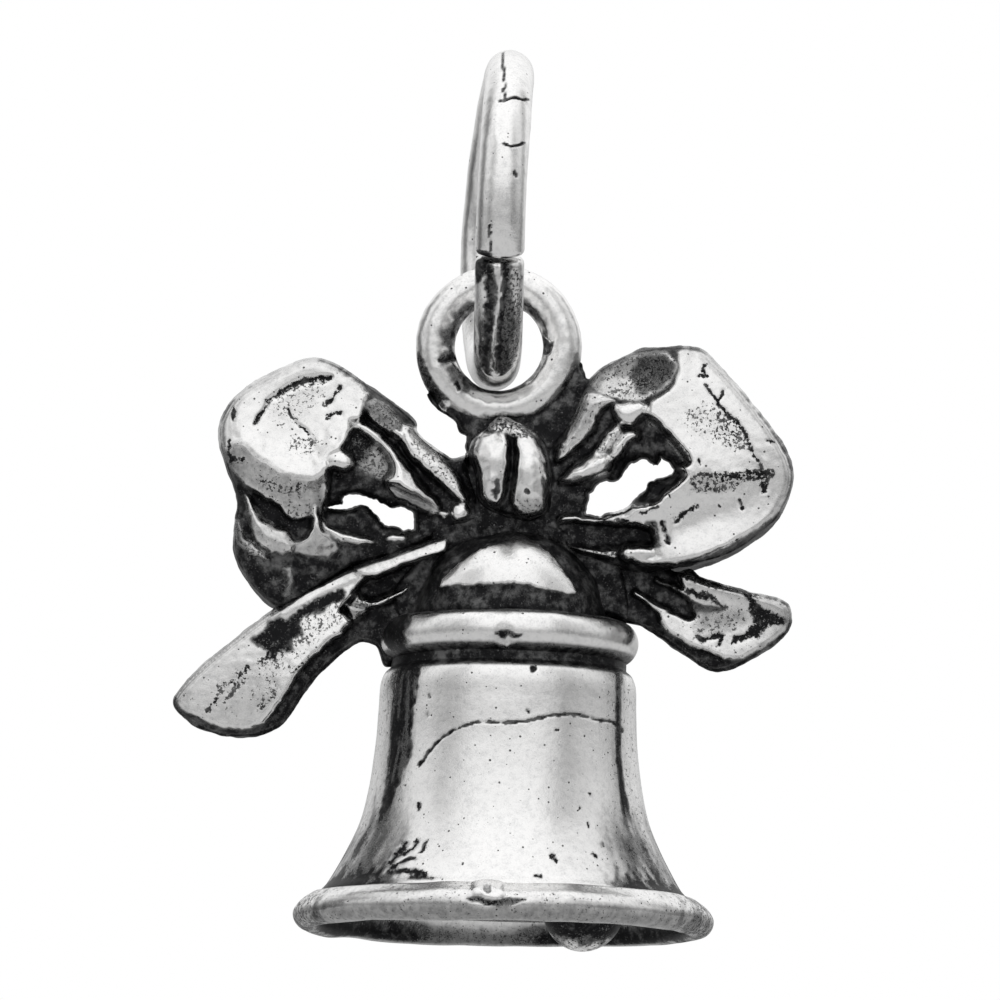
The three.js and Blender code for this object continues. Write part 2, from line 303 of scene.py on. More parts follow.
class Skin:
    """A surface's points as the camera sees them, each with a height, a tone and pits.

    Tone runs from 0, oxidised, to 1, polished, and is lowered in places to paint shade. Pits run from 0,
    smooth, to 1, eaten away.
    """

    def __init__(self, seen, height, tone, facing=None):
        self.seen = seen
        self.facing = np.ones(len(seen), bool) if facing is None else facing
        stray = np.column_stack([lumps(seen, 0.13, seed, 2) for seed in (11, 23)])
        self.strayed = seen + RAGGED * stray
        self.height = np.full(len(seen), float(height))
        self.tone = np.full(len(seen), float(tone))
        self.pits = np.full(len(seen), PLAIN_PITS)

    def near(self, line, reach):
        lo, hi = line.min(axis=0) - reach, line.max(axis=0) + reach
        return np.flatnonzero(np.all((self.strayed > lo) & (self.strayed < hi), axis=1) & self.facing)

    def land(self, shape, height=None, tone=1.0, bevel=0.1, dome=0.0, pits=None):
        """Brings the inside of a shape to a height or a sheet of heights, with sloped edges."""
        line = curve(shape)
        at = self.near(line, bevel)
        if not len(at):
            return
        q = self.strayed[at]
        depth = np.where(within(q, line), 1, -1) * gap(q, line)
        k = ramp(-bevel, 0.5 * bevel, depth)
        if height is not None:
            level = plate(q, height) if isinstance(height, list) else np.full(len(at), float(height))
            if dome:
                level = level + dome * (0.5 - (1 - np.clip(depth / max(depth.max(), 1e-6), 0, 1)) ** 2)
            self.height[at] += (level - self.height[at]) * k
        inside = ramp(-0.6 * bevel, 0.4 * bevel, depth)
        if tone is not None:
            self.tone[at] += (tone - self.tone[at]) * inside
        if pits is not None:
            self.pits[at] += (pits - self.pits[at]) * inside

    def pit(self, shape, pits, bevel):
        """Eats the silver away inside a shape."""
        self.land(shape, tone=None, bevel=bevel, pits=pits)

    def cut(self, line, width, depth=0.0, tone=None, pits=None):
        """A groove along an open line; a negative depth makes a ridge."""
        line = curve(line, closed=False) if len(line) > 2 else np.asarray(line, float)
        at = self.near(line, 1.5 * width)
        if len(at):
            away = gap(self.strayed[at], line, closed=False)
            self.height[at] -= depth * (1 - ramp(0.25 * width, width, away))
            ragged = away + 0.5 * width * lumps(self.seen[at], 0.09, 29, 2)
            k = 1 - ramp(0.1 * width, 1.1 * width, ragged)
            if tone is not None:
                self.tone[at] += (tone - self.tone[at]) * k
            if pits is not None:
                self.pits[at] += (pits - self.pits[at]) * k

    def nicks(self, lines, depth=0.0, tone=None, pits=1.0):
        """Several grooves, each given as its width and then its points."""
        for width, *line in lines:
            self.cut(line, width, depth, tone, pits)

    def bead(self, u, w, radius, height, tone=1.0):
        """A round bump, or a pit if its height is negative."""
        away = np.hypot(self.strayed[:, 0] - u, self.strayed[:, 1] - w)
        at = np.flatnonzero((away < 1.5 * radius) & self.facing)
        cap = np.sqrt(np.clip(1 - (away[at] / radius) ** 2, 0, 1))
        self.height[at] += height * cap
        k = 1 - ramp(0.7 * radius, 1.3 * radius, away[at])
        self.tone[at] += (tone - self.tone[at]) * k
        self.pits[at] -= self.pits[at] * k


def to_object(node, points, faces, tone, pits, body):
    """A smooth mesh with its tone and pits, riding on a CAD body in place of a CAD node."""
    name = node + "_cast"
    mesh = bpy.data.meshes.new(name)
    mesh.from_pydata((points * MM).tolist(), [], faces)
    mesh.validate()
    mesh.shade_smooth()
    for label, values in (("tone", tone), ("pits", pits)):
        attribute = mesh.attributes.new(label, "FLOAT", "POINT")
        attribute.data.foreach_set("value", np.clip(values, 0, 1).astype(np.float32))
    obj = bpy.data.objects.new(name, mesh)
    bpy.context.scene.collection.objects.link(obj)
    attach(obj, body)
    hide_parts(node)
    return obj


ROW_SPACING = 0.866     # of the step, so that the triangles have about equal sides
CLEARANCE = 0.6         # of the step, kept free between the boundary and the points inside it


def fill(outline, hole, step):
    """Points and triangles that fill the outline, less the hole, and the rows of boundary points."""
    loops = [outline] + ([hole] if hole is not None else [])
    loops = [loop[::-1] if (turning(loop) > 0) == bool(i) else loop for i, loop in enumerate(loops)]
    lo, hi = loops[0].min(axis=0), loops[0].max(axis=0)
    rows = []
    for i, w in enumerate(np.arange(lo[1], hi[1], step * ROW_SPACING)):
        u = np.arange(lo[0] + (i % 2) * step / 2, hi[0], step)
        rows.append(np.column_stack([u, np.full(len(u), w)]))
    grid = np.vstack(rows)
    grid = grid[within(grid, loops[0])]
    for loop in loops[1:]:
        grid = grid[~within(grid, loop)]
    for loop in loops:
        grid = grid[gap(grid, loop) > CLEARANCE * step]
    everything = np.vstack(loops + [grid])
    links, start = [], 0
    for loop in loops:
        n = len(loop)
        links += [(start + i, start + (i + 1) % n) for i in range(n)]
        start += n
    made = delaunay_2d_cdt([Vector(p) for p in everything], links, [], 0, 1e-6)
    points = np.array([tuple(v) for v in made[0]])
    triangles = np.array([f for f in made[2] if len(f) == 3])
    centres = points[triangles].mean(axis=1)
    keep = within(centres, loops[0])
    for loop in loops[1:]:
        keep &= ~within(centres, loop)
    triangles = triangles[keep]
    a, b, c = (points[triangles[:, i]] for i in range(3))
    flat = (b - a)[:, 0] * (c - a)[:, 1] - (b - a)[:, 1] * (c - a)[:, 0]
    triangles[flat < 0] = triangles[flat < 0][:, ::-1]
    where = {source: i for i, sources in enumerate(made[3]) for source in sources}
    borders, start = [], 0
    for loop in loops:
        borders.append(np.array([where[start + i] for i in range(len(loop))]))
        start += len(loop)
    return points, triangles, borders


SURROUNDINGS = 10       # times that the heights are blurred, for the level that hollows lie below
WALL_ROWS = 14          # rows of faces from the front of a bow piece to its back
BULGE = 0.05            # how far the middle of that wall stands out past the front's edge
WALL_ROUGH = 0.03       # and the height of the lumps on it
HOLE_RAGGED = 0.03      # how far an eyelet's edge strays
EDGE_SHADE = 0.17        # painted shade: tone lost along the edge of a polished front, within EDGE_WIDTH of it, where the rounded edge turns away
EDGE_WIDTH = 0.2
SEEN_THROUGH = 0.45     # how far from an eyelet the back gives way to the view through it


class Relief(Skin):
    """A cast piece of the bow: a front with relief, its mirror at the back, and walls between them."""

    def __init__(self, outline, height, tone, hole=None, rim=0.18):
        edge = evenly(curve(outline), FINE)
        if turning(edge) < 0:
            edge = edge[::-1]
        inner = None
        if hole is not None:
            inner = evenly(curve(hole), FINE)
            inner = inner if turning(inner) < 0 else inner[::-1]
            inner = shifted(inner, -BULGE)
            stray = np.column_stack([lumps(inner, 0.11, seed, 2) for seed in (61, 67)])
            inner = inner + HOLE_RAGGED * stray
        seen, self.triangles, self.borders = fill(shifted(edge, -BULGE), inner, FINE)
        super().__init__(seen, height, tone)
        self.edges = face_edges(self.triangles)
        self.rim = rim
        self.away = np.full(len(seen), np.inf)
        for border in self.borders:
            self.away = np.minimum(self.away, gap(seen, seen[border]))

    def grain(self, seed, broad=(0.5, 0.05), fine=(0.14, 0.025)):
        """The uneven skin of a casting: broad swells and fine grain, each a size and a height."""
        for i, (size, height) in enumerate((broad, fine)):
            self.height += height * lumps(self.seen, size, seed + i, 2)

    def antique(self, strength=3.0, softening=2):
        """Leaves oxide in what lies low, clears what stands proud, and softens the relief."""
        proud = self.height - blurred(self.height, self.edges, SURROUNDINGS)
        self.tone = np.clip(self.tone + strength * proud, 0, 1)
        self.height = blurred(self.height, self.edges, softening)

    def build(self, node, body, wall=0.95, behind=None, mirrored=False, edge_drop=0.2):
        """Makes the object. Its back is flat at the depth behind, or else mirrors the front."""
        # Painted shade along the rounded edge of a polished front.
        self.tone -= EDGE_SHADE * np.exp(-(self.away / EDGE_WIDTH) ** 2) * ramp(0.5, 0.8, self.tone)
        height = self.height - edge_drop * (1 - rounded(self.away / self.rim))
        front = along_sight(self.seen, -height)
        if behind is None:
            rear = front * [1, -1, 1]
            if len(self.borders) > 1:
                # An eyelet's back lies behind its front on the line of sight, so that it shows clear.
                clear = gap(self.seen, self.seen[self.borders[1]])
                through = along_sight(self.seen, height)
                rear += (through - rear) * np.exp(-(clear / SEEN_THROUGH) ** 2)[:, None]
            rear_height = height
        else:
            rear_height = np.full(len(height), -behind)
            rear = along_sight(self.seen, rear_height)
        n = len(front)
        points, tones, pits = [front, rear], [self.tone, self.tone], [self.pits, self.pits]
        faces = self.triangles.tolist() + (self.triangles[:, ::-1] + n).tolist()
        start = 2 * n
        for border in self.borders:
            seen = self.seen[border]
            out = shifted(seen, 1.0) - seen
            grid = [border]
            for j in range(1, WALL_ROWS):
                turn = math.pi * j / WALL_ROWS
                share = (1 - math.cos(turn)) / 2
                depth = -height[border] * (1 - share) + rear_height[border] * share
                rough = lumps(np.column_stack([seen, depth]), 0.35, 71, 3)
                push = BULGE * math.sin(turn) + WALL_ROUGH * math.sin(turn) * rough
                mirror = behind is None and border is self.borders[0]
                moved = along_sight(seen + out * push[:, None], -np.abs(depth) if mirror else depth)
                if mirror:
                    moved[:, 1] = depth
                points.append(moved)
                # Painted shade: the wall is darker than the front, most of all where it faces down.
                shade = wall * self.tone[border] + 0.04 - 0.3 * np.clip(-out[:, 1], 0, 1) + 0.15 * rough
                tones.append(self.tone[border] + (shade - self.tone[border]) * math.sin(turn))
                pits.append(self.pits[border])
                grid.append(np.arange(start, start + len(border)))
                start += len(border)
            grid.append(border + n)
            grid = np.array(grid)
            after = np.roll(grid, -1, axis=1)
            quads = np.stack([grid[:-1], grid[1:], after[1:], after[:-1]], axis=2).reshape(-1, 4)
            faces += quads.tolist()
        points = np.vstack(points)
        if mirrored:
            points = points * [1, -1, 1]
            faces = [f[::-1] for f in faces]
        return to_object(node, points, faces, np.concatenate(tones), np.concatenate(pits), body)


def grid_faces(rows, columns, wrap_rows, wrap_columns):
    """The faces between the points of a grid, and across its ends where it wraps."""
    i, j = np.meshgrid(np.arange(rows if wrap_rows else rows - 1),
                       np.arange(columns if wrap_columns else columns - 1), indexing="ij")
    i, j = i.ravel(), j.ravel()
    i2, j2 = (i + 1) % rows, (j + 1) % columns
    return np.column_stack([i * columns + j, i * columns + j2, i2 * columns + j2, i2 * columns + j])


def normals_of(points, faces):
    a, b, c, d = (points[faces[:, k]] for k in range(4))
    across = np.cross(c - a, d - b)
    total = np.zeros_like(points)
    for k in range(4):
        for axis in range(3):
            total[:, axis] += np.bincount(faces[:, k], across[:, axis], len(points))
    return total / np.maximum(np.linalg.norm(total, axis=1), 1e-12)[:, None]


def outward(points, normals):
    """True where the surface faces the camera, or faces away from it at the back."""
    return np.sign(points[:, 1]) * normals[:, 1] > SIDEWAYS


CROWDING = 0.2          # how much closer the columns stand at the front and the back than at the sides


class Turned(Skin):
    """A piece turned about the bell's axis: its outline is [radius, height above the mouth] points."""

    def __init__(self, line, columns, tone):
        around = np.linspace(0, 2 * math.pi, columns, endpoint=False)
        around = around - CROWDING * np.sin(2 * around)
        self.angle = np.tile(around, len(line))
        self.radius = np.repeat(line[:, 0], columns)
        self.level = np.repeat(line[:, 1], columns)
        self.base = np.column_stack([BELL[0] + self.radius * np.sin(self.angle),
                                     -self.radius * np.cos(self.angle), BELL[2] + self.level])
        self.faces = grid_faces(len(line), columns, True, True)
        self.normal = normals_of(self.base, self.faces)
        super().__init__(seen_at(self.base), 0.0, tone, outward(self.base, self.normal))

    def build(self, node, body):
        points = self.base + self.normal * self.height[:, None]
        return to_object(node, points, self.faces.tolist(), self.tone, self.pits, body)


SIDE, FORWARD = np.array([1.0, 0.0, 0.0]), np.array([0.0, 1.0, 0.0])


class Wire(Skin):
    """Round wire along a path of points, closed or with rounded ends. Its rows start from beside."""

    def __init__(self, path, radius, sides, closed, beside, tone, end_round=0.12):
        ahead = np.roll(path, -1, axis=0) - np.roll(path, 1, axis=0)
        if not closed:
            ahead[0], ahead[-1] = path[1] - path[0], path[-1] - path[-2]
        ahead /= np.linalg.norm(ahead, axis=1)[:, None]
        side = beside - ahead * (ahead @ beside)[:, None]
        side /= np.linalg.norm(side, axis=1)[:, None]
        other = np.cross(ahead, side)
        along = np.concatenate([[0], np.cumsum(np.linalg.norm(np.diff(path, axis=0), axis=1))])
        thick = np.full(len(path), radius)
        if not closed:
            end = np.minimum(along, along[-1] - along) / end_round
            thick = radius - end_round * (1 - rounded(end))
        turn = np.linspace(0, 2 * math.pi, sides, endpoint=False)
        out = side[:, None] * np.cos(turn)[:, None] + other[:, None] * np.sin(turn)[:, None]
        self.out = out.reshape(-1, 3)
        self.base = (path[:, None] + out * thick[:, None, None]).reshape(-1, 3)
        self.faces = grid_faces(len(path), sides, closed, True)
        self.caps = []
        if not closed:
            last = (len(path) - 1) * sides
            self.caps = [list(range(sides))[::-1], list(range(last, last + sides))]
        super().__init__(seen_at(self.base), 0.0, tone, outward(self.base, self.out))


def wires(node, pieces, body):
    """One object from one or more wires."""
    points, faces, start = [], [], 0
    for wire in pieces:
        points.append(wire.base + wire.out * wire.height[:, None])
        faces += [[i + start for i in face] for face in wire.faces.tolist() + wire.caps]
        start += len(wire.height)
    tone = np.concatenate([wire.tone for wire in pieces])
    pits = np.concatenate([wire.pits for wire in pieces])
    return to_object(node, np.vstack(points), faces, tone, pits, body)


# ---- left loop of the bow

def left_loop():
    loop = Relief(outline=[
        (-0.5, -2.2), (-0.9, -2.35), (-1.1, -2.25), (-1.65, -1.8), (-1.7, -1.6), (-2.75, -0.8),
        (-3.55, -0.35), (-3.9, -0.3), (-4.25, -0.4), (-5.35, -1.05), (-5.6, -1.35), (-5.75, -1.7),
        (-5.75, -2.1), (-5.35, -3.4), (-5.4, -3.85), (-5.3, -4.6), (-4.45, -5.5), (-2.95, -4.65),
        (-2, -4.4), (-1.5, -4.14), (-0.9, -3.85), (-0.25, -3.6), (-0.6, -2.25)], hole=[
        (-3.45, -3.4), (-3.15, -3.35), (-3.1, -3.2), (-2.75, -3.15), (-2.15, -3.4), (-1.9, -3.4),
        (-1.7, -3.5), (-1.65, -3.7), (-1.7, -3.85), (-2.05, -3.8), (-2.35, -3.7), (-2.5, -3.5),
        (-2.75, -3.35), (-3.1, -3.45)], height=0.68, tone=0.08)
    loop.grain(31)
    # The bright dished top of the ribbon, above the crease ridge, and the wall that falls away below it.
    crease = [
        (-5.7, -2.2), (-5.55, -2.25), (-5.3, -2.1), (-5, -2.35), (-4.4, -2.7), (-3.9, -2.8),
        (-3.65, -2.75)]
    loop.land(crease + [
        (-3.45, -2.5), (-3.45, -2.7), (-3.6, -3.5), (-4.2, -3.65), (-4.55, -3.35), (-5.15, -3),
        (-5.65, -2.4)], [
        (-5.65, -2.3, 0.86), (-5.3, -2.1, 1.08), (-5, -2.35, 1.15), (-4.4, -2.7, 1.22),
        (-3.8, -2.8, 1.26), (-3.45, -2.55, 1.18), (-5.3, -2.85, 0.88), (-4.85, -3.1, 0.92),
        (-4.35, -3.45, 0.86), (-4.2, -3.1, 1.0), (-3.6, -3.4, 0.88), (-3.7, -3.1, 0.98)], tone=0.78,
        pits=0.3)
    loop.land(crease[::-1] + [
        (-5.75, -1.8), (-5.55, -1.35), (-5.35, -1.05), (-4.25, -0.4), (-3.9, -0.3), (-3.55, -0.4),
        (-3.2, -0.6), (-2.7, -1), (-3, -1.85)], [
        (-3.9, -0.4, 0.86), (-3.2, -0.65, 0.86), (-2.8, -1.05, 1.0), (-3, -1.7, 1.12),
        (-3.4, -2.25, 1.22), (-3.8, -2.75, 1.26), (-4.4, -2.7, 1.22), (-5, -2.35, 1.16),
        (-5.3, -2.1, 1.08), (-5.65, -1.95, 0.86), (-5.6, -1.4, 0.8), (-5.05, -0.9, 0.8),
        (-4.2, -1.6, 0.9), (-4.6, -2, 0.98), (-3.7, -1.1, 0.88), (-3.95, -2.15, 1.02)])
    # Pleats that run to the knot, with dark valleys between them.
    loop.land([
        (-2.9, -1.8), (-2.2, -2.3), (-2.15, -2.6), (-2.3, -2.85), (-2.7, -2.7), (-3, -2.5), (-3, -2.15)],
        0.76, tone=0.75, bevel=0.2, pits=0.55)
    loop.land([
        (-3.0, -1.95), (-2.8, -1.8), (-2.6, -2), (-2.75, -2.4), (-3.05, -2.5)], tone=0.45, bevel=0.2)
    loop.land([
        (-3, -1.65), (-2.75, -1.65), (-2.5, -1.8), (-1.4, -3.1), (-1.2, -3.35), (-1.25, -3.45),
        (-2.25, -2.85), (-2.15, -2.7), (-2.15, -2.5), (-2.35, -2.15)], [
        (-2.9, -1.65, 0.94), (-2.55, -1.85, 0.98), (-2.3, -2.15, 1.0), (-2.0, -2.4, 1.04),
        (-2.2, -2.8, 1.16), (-1.3, -3.2, 1.1), (-1.3, -3.45, 1.18)], bevel=0.12, dome=0.08, pits=0.05)
    loop.land([
        (-2.2, -2.95), (-1.2, -3.38), (-1.15, -3.5), (-1.7, -3.38), (-2.1, -3.14)], 0.86, tone=0.72,
        dome=0.08)
    loop.land([
        (-2, -1.65), (-1.72, -1.7), (-1.45, -1.9), (-1.1, -2.35), (-0.8, -2.75), (-0.62, -3.25),
        (-1.25, -2.75), (-1.68, -2.38), (-1.9, -2.1)], [
        (-2, -1.65, 0.94), (-1.45, -1.9, 0.94), (-0.8, -2.75, 0.94), (-0.62, -3.25, 0.98),
        (-1.25, -2.75, 1.06), (-1.9, -2.1, 1.06)], bevel=0.1, dome=0.04, pits=0.45)
    loop.land([
        (-2.72, -1.16), (-2.35, -1.2), (-1.95, -1.7), (-2.12, -1.85), (-2.5, -1.65), (-2.7, -1.42)],
        0.98, tone=0.7, dome=0.08, pits=0.52)
    loop.land([
        (-0.95, -2.35), (-0.75, -2.25), (-0.6, -2.2), (-0.5, -2.25), (-0.7, -2.35)], 0.86, tone=0.8)
    # Rims round the dark dish below, the foot, and the ribbon's outer edge.
    loop.land([
        (-5.15, -3.2), (-4.96, -3.5), (-4.8, -3.66), (-4.52, -3.82), (-4.26, -3.95), (-4.04, -4.28),
        (-4.3, -4.42), (-4.69, -4.38), (-4.95, -4.1)], 0.86, tone=0.8, bevel=0.14, dome=0.14, pits=0.3)
    loop.land([
        (-3.72, -3.45), (-3.56, -3.81), (-3.22, -4.27), (-3.4, -4.42), (-3.95, -4.42), (-4.14, -4.28),
        (-3.85, -4.01), (-3.76, -3.75)], [
        (-3.7, -3.5, 0.98), (-3.65, -4, 0.96), (-3.3, -4.3, 0.72), (-4.05, -4.35, 0.72),
        (-3.7, -4.4, 0.7)], tone=0.8, pits=0.2)
    loop.land([
        (-5.37, -3.72), (-5.23, -3.78), (-5.16, -4.04), (-4.89, -4.23), (-4.66, -4.53), (-4.95, -4.47),
        (-5.28, -4.24), (-5.41, -3.98)], 0.72, tone=0.74, dome=0.1, pits=0.5)
    loop.land([
        (-3.65, -3.5), (-3.45, -3.8), (-2.5, -4.1), (-2.8, -4.2), (-3.35, -4.05), (-3.5, -3.9)], 0.84,
        tone=0.85, dome=0.1)
    loop.land([(-2.2, -4.05), (-2.05, -3.95), (-1.85, -3.95), (-1.85, -4.05), (-2.05, -4.1)], 0.8)
    loop.cut([(-4.25, -4.75), (-4.2, -4.95), (-4.25, -5.25)], 0.12, -0.06, 0.65)
    # The dark arc where the dish meets its rim, and nicks, pits and cracks below it.
    loop.cut([
        (-5.02, -1.73), (-4.9, -1.5), (-4.67, -1.16), (-4.39, -0.96), (-4.06, -0.8), (-3.74, -0.72),
        (-3.44, -0.7)], 0.06, 0.05, 0.8, pits=1.0)
    loop.cut([
        (-4.6, -1.14), (-4.39, -1.0), (-4.06, -0.85), (-3.74, -0.77), (-3.5, -0.74)], 0.11, 0.03, 0.8,
        pits=0.95)
    loop.pit([
        (-4.29, -1.98), (-3.9, -1.91), (-3.61, -2), (-3.7, -2.26), (-4.09, -2.34), (-4.29, -2.24)], 0.58,
        0.25)
    loop.pit([
        (-4.75, -1.35), (-4.2, -1), (-3.6, -0.85), (-3.55, -1.1), (-4, -1.5), (-4.4, -1.8)], 0.44, 0.25)
    loop.pit([
        (-4.96, -2.72), (-4.7, -2.88), (-4.4, -2.98), (-4, -2.95), (-4, -3.1), (-4.4, -3.15),
        (-4.8, -3)], 0.64, 0.2)
    loop.pit([
        (-4.9, -3.2), (-4.3, -3.4), (-3.7, -3.4), (-3.8, -3.7), (-4.3, -3.8), (-4.8, -3.6)], 0.5, 0.3)
    loop.nicks([
        (0.07, (-3.27, -0.9), (-3.4, -1.1), (-3.56, -1.3)),
        (0.1, (-3.5, -1.54), (-3.38, -1.47), (-3.24, -1.46)),
        (0.045, (-4.31, -1.4), (-4.23, -1.61), (-3.97, -1.77), (-3.89, -1.9)),
        (0.06, (-5.44, -1.38), (-5.47, -1.61)),
        (0.06, (-5.53, -2.1), (-5.52, -2.3), (-5.43, -2.47), (-5.23, -2.46)),
        (0.05, (-5.43, -2.44), (-5.53, -2.56))], 0.02, 0.85)
    loop.land([
        (-3.5, -2.46), (-3.42, -2.31), (-3.2, -2.25), (-3.0, -2.33), (-2.95, -2.5), (-3.08, -2.64),
        (-3.32, -2.62), (-3.46, -2.55)], 1.22, bevel=0.06, dome=0.12, pits=0.0)
    loop.bead(-2.04, -1.89, 0.11, 0.14)
    loop.bead(-0.72, -3.46, 0.2, 0.2)
    loop.bead(-1.05, -3.5, 0.1, 0.1)
    loop.antique()
    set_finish(loop.build("bow_loop_left", "charm"), "antiqued_silver")


# ---- right loop of the bow

def right_loop():
    loop = Relief(outline=[
        (1.9, -0.6), (2.75, -0.05), (3.1, 0.05), (3.95, 0.1), (4.2, 0.05), (4.45, -0.15), (5.6, -1.45),
        (6.05, -2.15), (6.15, -2.55), (6.1, -2.9), (5.95, -3.25), (5.75, -3.55), (4.9, -4.2),
        (3.9, -4.5), (2.95, -4.65), (1.85, -4.35), (1.3, -4.05), (0.75, -3.5), (0.65, -2.75),
        (1.05, -2.05), (1.5, -1.5)], hole=[
        (1.85, -3.45), (1.9, -3.2), (2, -2.95), (2.25, -2.75), (2.5, -2.75), (2.8, -2.35), (3.05, -2.25),
        (3.3, -2.45), (3.4, -2.25), (3.65, -2.5), (3.5, -2.65), (3.15, -2.75), (3.1, -2.9), (2.9, -3.05),
        (2.75, -3.25), (2.25, -3.45), (2, -3.5)], height=0.68, tone=0.08)
    loop.grain(41)
    loop.land([
        (3.75, 0), (3.95, 0.05), (4.2, 0), (4.5, -0.15), (5.05, -0.8), (5.55, -1.45), (6, -2.2),
        (6.1, -2.55), (6.05, -2.9), (5.9, -3.25), (5.65, -3.5), (4.85, -4), (4, -4.4), (3.25, -4.45),
        (2.65, -4.3), (2.65, -4.2), (2.75, -4.1), (3.2, -4.12), (3.25, -3.75), (3.0, -3.68),
        (2.55, -3.64), (1.35, -3.64), (1.4, -3.52), (2.1, -3.55), (2.4, -3.45), (2.55, -3.3),
        (3.25, -3.2), (3.5, -3), (3.9, -2.6), (3.85, -2.45), (4, -2.35), (3.35, -1.5), (3.05, -1.3),
        (3.2, -1.05), (3.55, -0.75), (3.7, -0.5)], [
        (4.1, -0.05, 0.84), (3.8, -0.1, 0.92), (3.65, -0.65, 1.06), (3.2, -1.2, 1.16), (3.55, -1.7, 1.2),
        (3.95, -2.35, 1.26), (3.8, -2.75, 1.28), (3.15, -3.3, 1.25), (2.05, -3.6, 1.16),
        (1.55, -3.6, 1.08), (2.9, -3.65, 1.12), (4.4, -1.3, 1.04), (4.65, -1.95, 1.08),
        (5.05, -0.85, 0.9), (5.55, -1.6, 0.94), (5.9, -2.4, 0.88), (5.85, -3.05, 0.84),
        (4.85, -2.65, 1.1), (4.2, -2.85, 1.18), (5.3, -3.0, 0.95), (4.6, -3.35, 1.0),
        (3.95, -3.65, 1.04), (5.1, -3.65, 1.0), (4.45, -3.95, 1.08), (3.8, -4.25, 1.12),
        (3.15, -4.4, 1.04), (2.95, -4.25, 1.04)])
    loop.land([
        (1.9, -0.75), (2.55, -0.2), (3.05, -0.05), (3.5, -0.05), (3.7, -0.25), (3.65, -0.55),
        (3.45, -0.8), (3.1, -1), (2.85, -1.05), (2.15, -0.95)], [
        (1.9, -0.75, 0.62), (2.6, -0.15, 0.8), (3.5, -0.05, 0.86), (3.7, -0.4, 0.95), (3.1, -1, 0.9),
        (2.2, -0.95, 0.8), (2.7, -0.55, 0.62), (3.2, -0.45, 0.66)], tone=0.84, pits=0.5)
    loop.land([
        (2.95, -0.2), (3.5, -0.2), (3.6, -0.4), (3.3, -0.8), (2.9, -0.85), (2.8, -0.5)], tone=0.52,
        bevel=0.2, pits=0.5)
    loop.land([
        (2.45, -1.15), (3.05, -1.1), (3.1, -1.25), (2.75, -1.58), (2.52, -1.52), (2.42, -1.35)], 1.02,
        dome=0.14)
    loop.land([
        (1.75, -0.95), (1.95, -0.9), (2.45, -1.1), (2.3, -1.15), (2.15, -1.3), (1.85, -1.85),
        (1.25, -2.35), (1.55, -1.45)], 0.92, tone=0.85, dome=0.14, pits=0.4)
    loop.land([
        (1.35, -2.78), (1.95, -2.2), (2.2, -2.12), (2.4, -2.28), (2.36, -2.5), (2.1, -2.68)], 0.96,
        dome=0.2)
    loop.land([
        (2.5, -1.55), (2.6, -1.7), (2.45, -1.95), (2.25, -2.15), (2.05, -2.12)], 0.92, tone=0.9,
        dome=0.08, pits=0.5)
    loop.land([
        (2.6, -1.75), (2.85, -1.68), (2.92, -1.8), (2.78, -1.9), (2.5, -2.25), (2.33, -2.25)], 0.94,
        tone=0.9, dome=0.08, pits=0.4)
    # The dark slot below the eyelet, the stubs at its end and the finger under it.
    loop.land([
        (1.35, -3.68), (2.55, -3.68), (3.16, -3.78), (3.22, -4.1), (2.6, -4.09), (1.87, -4.06),
        (1.4, -3.95)], 0.6, tone=0.02)
    loop.land([(3.1, -3.62), (3.3, -3.56), (3.38, -4.12), (3.16, -4.12)], tone=0.5, bevel=0.1, pits=0.6)
    loop.cut([(3.45, -3.62), (3.52, -3.8), (3.6, -4.0)], 0.09, 0.02, 0.5, pits=0.9)
    loop.land([
        (2.62, -4.22), (2.74, -4.11), (3.24, -4.13), (3.35, -4.28), (2.93, -4.37), (2.67, -4.35)], 1.02,
        tone=0.88, dome=0.08)
    loop.land([
        (1.45, -4.14), (2.05, -4.2), (2.5, -4.2), (2.5, -4.32), (2.14, -4.3)], 0.82, tone=0.8,
        bevel=0.06, pits=0.6)
    loop.cut([(3.06, -1.42), (3.41, -1.65), (3.68, -2.02), (3.98, -2.34)], 0.1, 0.0, 0.72)
    # A dull pitted patch, a dull wedge, cracks and nicks on the polished ribbon.
    loop.land([
        (3.93, -1.16), (4.46, -1.09), (4.78, -1.25), (4.99, -1.51), (5.21, -1.98), (4.89, -2.04),
        (4.47, -1.89), (4.04, -1.69), (3.88, -1.42)], tone=0.92, bevel=0.3, pits=0.5)
    loop.pit([
        (4.6, -1.25), (4.95, -1.5), (5.18, -1.9), (4.95, -2.0), (4.6, -1.9), (4.4, -1.6)], 0.64, 0.2)
    loop.land([
        (4.0, -2.62), (4.85, -2.52), (5.7, -2.48), (5.75, -2.55), (5.3, -2.66), (4.65, -2.95),
        (4.02, -2.88)], tone=0.84, bevel=0.15, pits=0.66)
    loop.pit([(4.1, -2.58), (5, -2.5), (5.7, -2.45), (5.72, -2.6), (5.1, -2.66)], 0.85, 0.1)
    loop.nicks([
        (0.06, (4.56, -1.09), (4.72, -1.25), (4.94, -1.46), (5.1, -1.67), (5.23, -1.93), (5.34, -2.19),
         (5.48, -2.35), (5.51, -2.51)),
        (0.13, (5.51, -2.5), (5.56, -2.7), (5.54, -2.85)),
        (0.06, (4.28, -0.29), (4.23, -0.4), (4.31, -0.51), (4.16, -0.51)),
        (0.055, (4.29, -0.7), (4.4, -0.85), (4.53, -1.01), (4.64, -0.9), (4.64, -0.8)),
        (0.1, (3.71, -3.56), (3.91, -3.37), (4.18, -3.23)), (0.07, (3.02, -3.39), (3.33, -3.25)),
        (0.08, (2.55, -3.56), (2.97, -3.65)), (0.06, (5.62, -1.86), (5.72, -1.88))], 0.02, 0.85)
    for u, w, size in (
            (5.07, -3.18, 0.07), (4.19, -2.32, 0.05), (3.59, -3.03, 0.03), (4.62, -3.21, 0.03),
            (5.03, -3.97, 0.05)):
